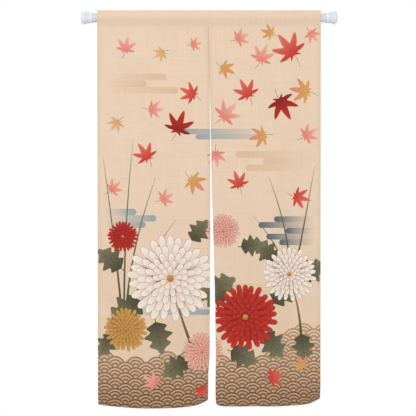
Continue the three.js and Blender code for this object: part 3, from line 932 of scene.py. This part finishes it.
def cut_rows(cut, panel):
    """Rows along the folds, the stitches, the pocket, the sewn middle and the curled edge."""
    side = panel["side"]
    outer, inner, bottom = side * OUTER_FOLD, side * INNER_FOLD, -BOTTOM_FOLD
    turns = [FOLD_RUN * k / FOLD_STEPS for k in range(FOLD_STEPS + 1)]
    dents = (-DENT_WIDTH, 0, DENT_WIDTH)
    for fold, away in ((outer, side), (inner, -side)):
        for turn in turns:
            for first, last in ((bottom + BOTTOM_HEM, -CREASE_CLEAR), (CREASE_CLEAR, SEAM)):
                cut.line(fold + away * turn, first, last, True)
        for off in dents:
            cut.line(fold - away * (STITCH_FROM_SIDE - FOLD_RADIUS + off), bottom, -SEAM, True)
    for near in MIDDLE_ROWS:
        cut.line(inner + side * near, -SEWN_LENGTH - SLIT_EASE, 0, True)
    curl_top = min(down for down, _ in panel["curl"])
    curl_width = max(width for _, width in panel["curl"])
    for near in np.arange(-SIDE_HEM, CURL_STEP + curl_width, CURL_STEP):
        cut.line(inner + side * near, bottom, POCKET_DEPTH - SEAM - curl_top, True)
    for turn in turns:
        cut.line(bottom - turn, inner, outer, False)
    for off in dents:
        cut.line(bottom + STITCH_FROM_HEM - FOLD_RADIUS + off, inner, outer, False)
    behind = np.arange(0, CLOTH_TOP, POCKET_STEP)
    in_front = -np.arange(POCKET_STEP / 2, SEAM + ROWS_BELOW_SEAM, POCKET_STEP)
    for height in np.concatenate([behind, in_front]):
        cut.line(height, inner, outer, False)


# %% Loose places and pattern
def cut_grid(cut, side):
    """Loose places between the rows, closer where the cloth bends more."""
    for down in np.arange(SEAM + GRID_BELOW_SEAM, CLOTH_LENGTH - GRID_ABOVE_HEM, GRID_STEP):
        step = FINE_STEP if down > CLOTH_LENGTH - FINE_ABOVE_HEM else GRID_STEP
        for across in np.arange(GRID_FROM_OUTER, PANEL_WIDTH - GRID_FROM_INNER, step):
            cut.points.append((side * (CURTAIN_WIDTH / 2 - across), -down))


def cut_pattern(cut, side):
    """The pattern's outlines that reach this panel."""
    for motif in design:
        reach = side * motif["outline"][:, 0]
        if reach.max() > 0 and reach.min() < CURTAIN_WIDTH / 2 + SIDE_CUT:
            cut.outline(motif["outline"] * (1, -1))


def inside(outline, places):
    """Which places lie inside an outline: those with an odd number of its sides to their right."""
    x, height = places
    (left, low), (right, high) = outline.min(0), outline.max(0)
    near = np.flatnonzero((x > left) & (x < right) & (height > low) & (height < high))
    x, height = x[near], height[near]
    odd = np.zeros(len(near), bool)
    for (x0, h0), (x1, h1) in zip(outline, np.roll(outline, -1, 0)):
        if h0 != h1:
            odd ^= ((h0 > height) != (h1 > height)) & (x < x0 + (x1 - x0) * (height - h0) / (h1 - h0))
    return near[odd]


# %% Colours of the corners
GROUND_FROM = 0.5  # down to where the ground begins to darken
# Painted shade, for the light that a double layer holds back:
HEM_PAINTED_SHADE = 0.95  # of the dye where a hem lies behind it


def dyed(number, flat):
    """The dye at flat places, for an outline of the pattern or for the bare ground."""
    if number < 0:
        return mixed(GROUND, GROUND_LOW, ease(-flat[:, 1], GROUND_FROM, CLOTH_LENGTH)[:, None])
    motif = design[number]
    part = ((flat * (1, -1) - motif["root"]) @ motif["run"]) / (motif["run"] @ motif["run"])
    return mixed(*motif["colours"], np.clip(part, 0, 1)[:, None])


def doubled(flat):
    """Where the cloth lies double, so that less light comes through it, which the colours show as painted
    shade.
    """
    far = np.abs(flat[:, 0])
    from_side = np.minimum(far - PANEL_GAP / 2, CURTAIN_WIDTH / 2 - far)
    hung = flat[:, 1] < -SEAM
    return hung & ((from_side < SIDE_HEM) | (CLOTH_LENGTH + flat[:, 1] < BOTTOM_HEM))


def corner_colours(corners, dyes):
    """The colour at each corner of the triangles, with painted shade where the cloth lies double."""
    colours = np.ones((len(corners), 4))
    for number in np.unique(dyes):
        chosen = dyes == number
        colours[chosen, :3] = dyed(number, corners[chosen])
    # Painted shade: corners over a hem are darkened, for the light that the double layer holds back.
    colours[np.repeat(doubled(corners.reshape(-1, 3, 2).mean(1)), 3), :3] *= HEM_PAINTED_SHADE
    return colours


# %% Thickness
SHEET_STEP = 0.0002  # to each side, to find which way the sheet faces


def thickened(panel, flat, faces):
    """The sheet with its reverse and its cut edges, and the printed triangle that each triangle belongs to.

    Thin triangles say little about the way the cloth faces, so that comes from places a little to each side.
    """
    count = len(flat)
    places = sewn_place(panel, *flat.T)
    reverse = places - LAYER * facing(sewn_place, panel, *flat.T, SHEET_STEP)
    edges = faces[:, [0, 1, 1, 2, 2, 0]].reshape(-1, 2)
    open_edges = np.flatnonzero(~np.isin(edges @ (1, count), edges @ (count, 1)))
    first, last = edges[open_edges].T
    walls = np.stack([last, first, first + count, last, first + count, last + count], 1).reshape(-1, 3)
    printed = np.arange(len(faces))
    belongs = np.concatenate([printed, printed, np.repeat(open_edges // 3, 2)])
    faces = np.concatenate([faces, faces[:, ::-1] + count, walls])
    return np.concatenate([places, reverse]), faces, belongs


# %% Hung sheets
def centres(flat, faces):
    """The middle of each triangle, as a row of places across and a row of heights."""
    return np.ascontiguousarray(flat[faces].mean(1).T)


def flat_triangles(panel):
    """The places and the triangles of a panel's flat cloth."""
    cut = FlatCut()
    cut_boxes(cut, panel["side"])
    cut_pattern(cut, panel["side"])
    cut_rows(cut, panel)
    cut_grid(cut, panel["side"])
    flat, _, faces, *_ = delaunay_2d_cdt(cut.points, cut.edges, [], 0, CUT_TOLERANCE, False)
    flat, faces = np.array([tuple(place) for place in flat]), np.array(faces)
    middles = centres(flat, faces)
    kept = np.unique(np.concatenate([inside(box, middles) for box in cut.boxes]))
    used, faces = np.unique(faces[kept], return_inverse=True)
    return flat[used], faces.reshape(-1, 3)


def panel_mesh(name, panel):
    """A panel's hung sheet, with the dye and the flat place of each corner."""
    flat, faces = flat_triangles(panel)
    middles = centres(flat, faces)
    dyes = np.full(len(faces), -1)
    for number, motif in enumerate(design):
        dyes[inside(motif["outline"] * (1, -1), middles)] = number
    places, faces, belongs = thickened(panel, flat, faces)
    mesh = new_mesh(name, places, [], faces)
    slots = np.arange(len(faces)) >= len(dyes)  # 0 for the printed face, 1 for the reverse and the edges
    mesh.polygons.foreach_set("material_index", slots.astype(np.int32))
    corners = flat[faces.ravel() % len(flat)]
    # The dye attribute also holds painted shade where a hem lies behind the cloth.
    colours = corner_colours(corners, np.repeat(dyes[belongs], 3))
    mesh.attributes.new("dye", "FLOAT_COLOR", "CORNER").data.foreach_set("color", colours.ravel())
    mesh.uv_layers.new(name="cloth").data.foreach_set("uv", corners.ravel())
    mesh.shade_smooth()
    return mesh


sheets = {}
for name, panel in PANELS.items():
    mesh = panel_mesh("linen_" + name, panel)
    sheets[name] = placed_object("linen_" + name, mesh)
    print(name, "panel:", len(mesh.polygons), "triangles")

# %% [markdown]
# ## Linen
# Linen shows its threads: a plain weave, with thicker slubs along both directions. A weave drawn by height
# gives the bump, and stretched noise gives the slubs. Dye takes unevenly on such cloth, so a second group
# makes it denser and thinner in soft clouds. Both are node groups, because the printed face and the reverse
# use them with their own values. They read the flat cloth's UV map, so the threads follow every fold.


# %% Group helpers
def math_node(tree, operation, *values):
    """The result of a sum on single numbers."""
    return result(tree, "ShaderNodeMath", dict(enumerate(values)), operation=operation)


def noise(tree, place, scale, detail, roughness=0.5):
    """Soft unevenness over places, from 0 to 1."""
    inputs = {"Vector": place, "Scale": scale, "Detail": detail, "Roughness": roughness}
    return result(tree, "ShaderNodeTexNoise", inputs)


def new_group(name, place, values, outputs):
    """A node group that takes a place and some values, and its two ends."""
    group = bpy.data.node_groups.new(name, "ShaderNodeTree")
    group.interface.new_socket(place, in_out="INPUT", socket_type="NodeSocketVector")
    for label, value in values.items():
        socket = group.interface.new_socket(label, in_out="INPUT", socket_type="NodeSocketFloat")
        socket.default_value = value
    for label in outputs:
        group.interface.new_socket(label, in_out="OUTPUT", socket_type="NodeSocketFloat")
    return group, group.nodes.new("NodeGroupInput").outputs, group.nodes.new("NodeGroupOutput").inputs


# %% Weave
SLUB_RUNS = ((5.0, 420.0, 0.0), (420.0, 4.0, 0.0), (26.0, 900.0, 0.0))  # slubs a metre, across and along
SLUB_HEIGHT = 1.6  # against that of a thread
NOISE_MEAN = 0.5

weave, weave_in, weave_out = new_group(
    "linen weave", "Cloth place", {"Threads per metre": 1500.0, "Slub": 0.1}, ["Height", "Shade"])
threads = vector_node(weave, "SCALE", weave_in["Cloth place"], Scale=weave_in["Threads per metre"])
place = node(weave, "ShaderNodeSeparateXYZ", {0: threads}).outputs
warp, weft = (math_node(weave, "SINE", math_node(weave, "MULTIPLY", place[k], math.pi)) for k in (0, 1))
over = math_node(weave, "GREATER_THAN", math_node(weave, "MULTIPLY", warp, weft), 0.0)
warp_height, weft_height = (math_node(weave, "ABSOLUTE", thread) for thread in (warp, weft))
thread_height = result(weave, "ShaderNodeMix", {0: over, 2: weft_height, 3: warp_height})
slub = -NOISE_MEAN * len(SLUB_RUNS)
for stretch in SLUB_RUNS:
    run = vector_node(weave, "MULTIPLY", weave_in["Cloth place"], stretch)
    slub = math_node(weave, "ADD", noise(weave, run, scale=1.0, detail=2.0), slub)
height = math_node(weave, "ADD", thread_height, math_node(weave, "MULTIPLY", slub, SLUB_HEIGHT))
shade = math_node(weave, "ADD", math_node(weave, "MULTIPLY", slub, weave_in["Slub"]), 1.0)
weave.links.new(height, weave_out["Height"])
weave.links.new(shade, weave_out["Shade"])
print(weave.name, "group:", len(weave.nodes), "nodes")

# %% Dye clouds
clouds, clouds_in, clouds_out = new_group(
    "dye clouds", "Cloth place", {"Clouds per metre": 14.0, "Strength": 0.1}, ["Shade"])
cloud = noise(clouds, clouds_in["Cloth place"], clouds_in["Clouds per metre"], detail=5.0, roughness=0.6)
swing = math_node(clouds, "SUBTRACT", cloud, NOISE_MEAN)
swing = math_node(clouds, "MULTIPLY", swing, clouds_in["Strength"])
clouds.links.new(math_node(clouds, "ADD", swing, 1.0), clouds_out["Shade"])
print(clouds.name, "group:", len(clouds.nodes), "nodes")


# %% Linen finishes
def colour_mix(tree, part, first, second):
    """A colour between two colours."""
    return node(tree, "ShaderNodeMix", {0: part, 6: first, 7: second}, data_type="RGBA").outputs[2]


def bumped(tree, height, strength, depth):
    """The way a face seems to lean where its height changes."""
    return result(tree, "ShaderNodeBump", {"Height": height, "Strength": strength, "Distance": depth})


REVERSE_PALENESS = 0.58
REVERSE_GROUND = linear(232, 212, 194)
THREAD_BUMP, THREAD_DEPTH = 0.35, 0.0004
ROUGH_BETWEEN, ROUGH_ON_TOP = 0.95, 0.80  # between the threads, and on top of them
HEIGHT_RANGE = (-0.5, 1.5)  # of the weave with its slubs
LINEN_GLOSS, LINEN_SHEEN = 0.2, 0.08


def linen(name, paleness, slub, cloud):
    """A linen finish whose dye is paler by a share, as on the side that wasn't printed."""
    finish, tree, surface = new_finish(name)
    cloth_place = result(tree, "ShaderNodeUVMap", uv_map="cloth")
    woven = node(tree, "ShaderNodeGroup", node_tree=weave)
    clouded = node(tree, "ShaderNodeGroup", node_tree=clouds)
    feed(tree, woven, {"Cloth place": cloth_place, "Slub": slub})
    feed(tree, clouded, {"Cloth place": cloth_place, "Strength": cloud})
    height = woven.outputs["Height"]
    colour = node(tree, "ShaderNodeAttribute", attribute_name="dye").outputs["Color"]
    if paleness:
        colour = colour_mix(tree, paleness, colour, (*REVERSE_GROUND, 1))
    shade = math_node(tree, "MULTIPLY", woven.outputs["Shade"], clouded.outputs["Shade"])
    feed(tree, surface, {
        "Base Color": vector_node(tree, "SCALE", colour, Scale=shade),
        "Roughness": ranged(tree, height, ROUGH_BETWEEN, ROUGH_ON_TOP, *HEIGHT_RANGE),
        "Normal": bumped(tree, height, THREAD_BUMP, THREAD_DEPTH),
        "Specular IOR Level": LINEN_GLOSS,
        "Sheen Weight": LINEN_SHEEN,
    })
    return finish


# %% Dress the sheets
printed_face = linen("printed linen", paleness=0.0, slub=0.16, cloud=0.10)
reverse_face = linen("linen reverse", REVERSE_PALENESS, slub=0.20, cloud=0.14)
for name, sheet in sheets.items():
    sheet.data.materials.append(printed_face)
    sheet.data.materials.append(reverse_face)
    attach(sheet, "root")
    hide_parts("panel_" + name)
print("finishes:", printed_face.name, "and", reverse_face.name)

# %% [markdown]
# ## Stitches
# Every hem is held by a row of lockstitch, which shows as short grains of thread on both faces. Thousands
# of them follow a few lines, which is what Geometry Nodes are for: the lines become curves, the curves are
# divided at every pitch, and a small grain is set on each point along the curve. A little seeded chance
# keeps the row from looking printed.

# %% Stitch tree
STITCH_VALUES = [
    ("Pitch", "Float"), ("Length", "Float"), ("Thread radius", "Float"), ("Unevenness", "Float"),
    ("Seed", "Int"), ("Thread", "Material"),
]


def stitch_tree():
    """A tree that sets grains of thread along the lines it is given, and the names of its sockets."""
    tree = bpy.data.node_groups.new("stitch rows", "GeometryNodeTree")
    sockets = {}
    for label, kind in [("Geometry", "Geometry"), *STITCH_VALUES]:
        made = tree.interface.new_socket(label, in_out="INPUT", socket_type="NodeSocket" + kind)
        sockets[label] = made.identifier
    tree.interface.new_socket("Geometry", in_out="OUTPUT", socket_type="NodeSocketGeometry")
    given = tree.nodes.new("NodeGroupInput").outputs
    curve = result(tree, "GeometryNodeMeshToCurve", {0: given["Geometry"]})
    divided = {"Curve": curve, "Length": given["Pitch"]}
    spaced = result(tree, "GeometryNodeResampleCurve", divided, mode="LENGTH")
    half = math_node(tree, "MULTIPLY", given["Length"], 0.5)
    radius = given["Thread radius"]
    size = result(tree, "ShaderNodeCombineXYZ", {0: radius, 1: radius, 2: half})
    ball = result(tree, "GeometryNodeMeshUVSphere", {"Segments": 6, "Rings": 4, "Radius": 1.0})
    grain = result(tree, "GeometryNodeTransform", {"Geometry": ball, "Scale": size})
    tangent = result(tree, "GeometryNodeInputTangent")
    turn = result(tree, "FunctionNodeAlignRotationToVector", {"Vector": tangent}, axis="Z")
    least, most = (math_node(tree, sign, 1.0, given["Unevenness"]) for sign in ("SUBTRACT", "ADD"))
    limits = {2: least, 3: most, "Seed": given["Seed"]}
    chance = node(tree, "FunctionNodeRandomValue", limits, data_type="FLOAT").outputs[1]
    grains = {"Points": spaced, "Instance": grain, "Rotation": turn, "Scale": chance}
    placed = result(tree, "GeometryNodeInstanceOnPoints", grains)
    real = result(tree, "GeometryNodeRealizeInstances", {0: placed})
    dressed = result(tree, "GeometryNodeSetMaterial", {"Geometry": real, "Material": given["Thread"]})
    tree.links.new(dressed, tree.nodes.new("NodeGroupOutput").inputs[0])
    return tree, sockets


stitches, stitch_sockets = stitch_tree()
print(stitches.name, "tree:", len(stitches.nodes), "nodes")

# %% Sewing thread
THREAD_DARK, THREAD_PALE = linear(214, 186, 160), linear(236, 214, 192)
SPUN_SCALE = 900.0
THREAD_ROUGH = (0.55, 0.8)

thread, tree, surface = new_finish("sewing thread")
spun = noise(tree, object_place(tree), SPUN_SCALE, detail=2.0)
tone = colour_mix(tree, spun, (*THREAD_DARK, 1), (*THREAD_PALE, 1))
feed(tree, surface, {"Base Color": tone, "Roughness": ranged(tree, spun, *THREAD_ROUGH)})
print("finish:", thread.name)

# %% Stitch rows
STITCH_PITCH, STITCH_LENGTH, STITCH_UNEVENNESS = 0.0036, 0.0031, 0.08
THREAD_RADIUS = 0.00030
THREAD_OUT = 0.00005  # of a stitch's middle from the face of the cloth
ROW_STEP = 0.004
ROW_END, ROW_SIDE = 0.004, 0.003  # of a row from the seam and the hem, and from the panel's sides
FIRST_SEED = 11


def stitch_lines(panel):
    """Rows of places on the flat cloth along which a panel is sewn."""
    side = panel["side"]
    height = np.arange(-SEAM - ROW_END, -(CLOTH_LENGTH - ROW_END), -ROW_STEP)
    for edge, way in ((CURTAIN_WIDTH / 2, -1), (PANEL_GAP / 2, 1)):
        yield np.full(len(height), side * (edge + way * STITCH_FROM_SIDE)), height
    across = np.arange(PANEL_GAP / 2 + ROW_SIDE, CURTAIN_WIDTH / 2 - ROW_SIDE, ROW_STEP)
    for down in (CLOTH_LENGTH - STITCH_FROM_HEM, SEAM):
        yield side * across, np.full(len(across), -down)


def stitch_rows(panel):
    """The same rows on the hung cloth, on its front and behind its second layer."""
    rows = []
    for x, height in stitch_lines(panel):
        middle = draped(panel, x, height)
        out = facing(draped, panel, x, height, DRAPE_STEP)
        push = relief(panel, x, height)[:, None]
        rows.append(middle + out * (push + THREAD_OUT))
        rows.append(middle + out * (push - 2 * FOLD_RADIUS - THREAD_OUT))
    return rows


# %% Sew the hems
for number, (name, panel) in enumerate(PANELS.items()):
    points, edges = [], []
    for row in stitch_rows(panel):
        edges += [(len(points) + i, len(points) + i + 1) for i in range(len(row) - 1)]
        points += [tuple(p) for p in row]
    guide = placed_object("stitch guide", new_mesh("stitch guide", points, edges, []))
    sewing = guide.modifiers.new("sewing", "NODES")
    sewing.node_group = stitches
    values = (STITCH_PITCH, STITCH_LENGTH, THREAD_RADIUS, STITCH_UNEVENNESS, FIRST_SEED + number, thread)
    for (label, _), value in zip(STITCH_VALUES, values):
        sewing[stitch_sockets[label]] = value
    sewn = bpy.data.meshes.new_from_object(guide.evaluated_get(bpy.context.evaluated_depsgraph_get()))
    bpy.data.objects.remove(guide)
    sewn.shade_smooth()
    seams = placed_object("stitching_" + name, sewn)
    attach(seams, "root")
    panel["stitching"] = seams
    print(name, "stitching:", len(sewn.polygons), "faces")

# %% [markdown]
# ## The rod
# The spring rod is a white coated tube with a moulded collar and a foot on each end. All are round, so each
# is an outline turned about the rod's axis. The solids have the same outlines with few sides. Here every
# edge is eased, because moulded plastic has no sharp edges, and a round one catches the light.

# %% Sizes of the rod
ROD_END = 0.485  # along the rod from its middle, as are the other places
TUBE_RADIUS, TUBE_WALL, TUBE_CLEAR = 0.0155, 0.0015, 0.0003
COLLAR_START, COLLAR_TAPER, COLLAR_END = 0.429, 0.007, 0.443
COLLAR_MOUTH, COLLAR_RADIUS = 0.0168, 0.0180
FOOT_START, SOCKET_DEPTH, SOCKET_RADIUS = 0.4433, 0.016, 0.0158
RING_LENGTH = 0.0065
RING = [  # from the foot's start, and radius, with a groove at the ring's end
    (0, 0.0202), (0.0058, 0.0202), (0.0062, 0.0196), (0.0068, 0.0196), (0.0072, 0.0204),
]
BELL_LENGTH, BELL_RADIUS, BELL_FLARE = 0.011, 0.0204, 0.0042
NOSE_LENGTH, NOSE_FLAT, NOSE_ROUND = 0.013, 0.0125, 0.0121
DISH_RADIUS, DISH_DEPTH = 0.0085, 0.0006  # of the shallow hollow in a foot's end
AXIS = 0.0002  # radius of the closing ring round the axis
TUBE_END = FOOT_START + SOCKET_DEPTH - TUBE_CLEAR
TURN_SIDES = 96
SIDE_SHARE = 0.45  # of an outline's side that a round corner can take
print("tube to", round(TUBE_END, 4), "m from the middle, feet to", ROD_END, "m")


# %% Turned pieces
def eased(outline, radius, steps=5):
    """A closed outline with its corners rounded, by less than half of each side."""
    outline = np.asarray(outline, float)
    made = []
    for k, corner in enumerate(outline):
        before, after = outline[k - 1] - corner, outline[(k + 1) % len(outline)] - corner
        lengths = np.linalg.norm(before), np.linalg.norm(after)
        cut = min(radius, SIDE_SHARE * min(lengths))
        made.append(bow(corner + before / lengths[0] * cut, corner, corner + after / lengths[1] * cut, steps))
    return np.concatenate(made)


def turned_piece(name, outline, side, finish, node_name):
    """A closed outline of places along the rod and radii, turned about the rod's axis."""
    count = len(outline)
    angles = 2 * math.pi * np.arange(TURN_SIDES) / TURN_SIDES
    along, radius = outline[:, 0] * side, outline[:, 1]
    points = []
    for angle in angles:
        points += zip(along, radius * math.sin(angle), radius * math.cos(angle))
    faces = []
    for j in range(TURN_SIDES):
        following = (j + 1) % TURN_SIDES
        for i in range(count):
            after = (i + 1) % count
            faces.append((j * count + i, j * count + after, following * count + after, following * count + i))
    mesh = new_mesh(name, points, [], faces)
    if np.sum(along * np.roll(radius, -1) - np.roll(along, -1) * radius) < 0:
        mesh.flip_normals()
    mesh.shade_smooth()
    mesh.materials.append(finish)
    piece = placed_object(name, mesh)
    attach(piece, "root")
    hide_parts(node_name)
    return piece


# %% White finishes
# The palest white is the painted highlight on a foot's inner ring, and also the colour towards a foot's end.
FOOT_WHITE, RING_HIGHLIGHT_WHITE, COOL_WHITE = linear(222, 227, 235), linear(246, 249, 252), linear(213, 224, 231)
PALE_RUN, END_PALENESS = 0.020, 0.7  # from a foot's end, over which it gets paler
ROUGH_SWING = 0.06
GRAIN_DEPTH = 0.0002

grain, grain_in, grain_out = new_group(
    "moulded grain", "Place", {"Grains per metre": 2200.0, "Tone": 0.05}, ["Height", "Shade"])
fine = noise(grain, grain_in["Place"], grain_in["Grains per metre"], detail=3.0)
broad = noise(grain, grain_in["Place"], scale=60.0, detail=3.0)
tone = math_node(grain, "MULTIPLY", math_node(grain, "SUBTRACT", broad, NOISE_MEAN), grain_in["Tone"])
grain.links.new(fine, grain_out["Height"])
grain.links.new(math_node(grain, "ADD", tone, 1.0), grain_out["Shade"])


def white_finish(name, colour, rough, bump, ring_highlight_colour=None):
    """A white finish, with a painted highlight in a paler colour, where one is given, on a foot's inner ring,
    and the same paler colour towards its end.
    """
    finish, tree, surface = new_finish(name)
    place = object_place(tree)
    grained = node(tree, "ShaderNodeGroup", {"Place": place}, node_tree=grain).outputs
    if ring_highlight_colour:
        along = math_node(tree, "ABSOLUTE", result(tree, "ShaderNodeSeparateXYZ", {0: place}))
        # Painted highlight: the foot's inner ring takes the paler colour, as if its edge caught the light.
        painted_ring_highlight = math_node(tree, "COMPARE", along, FOOT_START + RING_LENGTH / 2, RING_LENGTH / 2)
        at_end = ranged(tree, along, 0.0, END_PALENESS, ROD_END - PALE_RUN, ROD_END)
        pale = math_node(tree, "MAXIMUM", painted_ring_highlight, at_end)
        colour = colour_mix(tree, pale, (*colour, 1), (*ring_highlight_colour, 1))
    feed(tree, surface, {
        "Base Color": vector_node(tree, "SCALE", colour, Scale=grained["Shade"]),
        "Roughness": ranged(tree, grained["Height"], rough - ROUGH_SWING, rough + ROUGH_SWING),
        "Normal": bumped(tree, grained["Height"], bump, GRAIN_DEPTH),
    })
    return finish


foot_plastic = white_finish(
    "white moulded plastic", FOOT_WHITE, rough=0.42, bump=0.10, ring_highlight_colour=RING_HIGHLIGHT_WHITE)
collar_plastic = white_finish("cool white plastic", COOL_WHITE, rough=0.42, bump=0.10)
coating = white_finish("white coated tube", COOL_WHITE, rough=0.30, bump=0.04)
print("finishes:", ", ".join(finish.name for finish in (foot_plastic, collar_plastic, coating)))

# %% Tube, collars and feet
TUBE_EDGE, MOULDED_EDGE = 0.0005, 0.0008  # how far the edges are eased
BELL_STEPS, NOSE_STEPS = 14, 18

bore = TUBE_RADIUS - TUBE_WALL
tube_outline = eased([
    (-TUBE_END, bore), (-TUBE_END, TUBE_RADIUS), (TUBE_END, TUBE_RADIUS), (TUBE_END, bore),
], TUBE_EDGE)
turned_piece("coated_tube", tube_outline, 1, coating, "rod_tube")

collar_outline = eased([
    (COLLAR_START, SOCKET_RADIUS), (COLLAR_START, COLLAR_MOUTH), (COLLAR_START + COLLAR_TAPER, COLLAR_RADIUS),
    (COLLAR_END, COLLAR_RADIUS), (COLLAR_END, SOCKET_RADIUS),
], MOULDED_EDGE)

flange = ROD_END - NOSE_LENGTH
waist = flange - BELL_LENGTH
flare = [(t, BELL_RADIUS + BELL_FLARE * ease(t, 0, 1)) for t in np.linspace(0, 1, BELL_STEPS)]
bell = [(waist + (flange - waist) * t, radius) for t, radius in flare]
turns = np.linspace(0, math.pi / 2, NOSE_STEPS)
nose = [(flange + NOSE_LENGTH * math.sin(turn), NOSE_FLAT + NOSE_ROUND * math.cos(turn)) for turn in turns]
socket_end = FOOT_START + SOCKET_DEPTH
dish = ROD_END - DISH_DEPTH
foot_outline = eased([
    (socket_end, AXIS), (socket_end, SOCKET_RADIUS), (FOOT_START, SOCKET_RADIUS),
    *[(FOOT_START + along, radius) for along, radius in RING],
    *bell, *nose[1:], (dish, DISH_RADIUS), (dish, AXIS),
], MOULDED_EDGE, steps=4)

for name, side in (("left", -1), ("right", 1)):
    collar = turned_piece("collar_shell_" + name, collar_outline, side, collar_plastic, "collar_" + name)
    foot = turned_piece("foot_shell_" + name, foot_outline, side, foot_plastic, "foot_" + name)
print("turned outlines:", len(collar_outline), "and", len(foot_outline), "places")
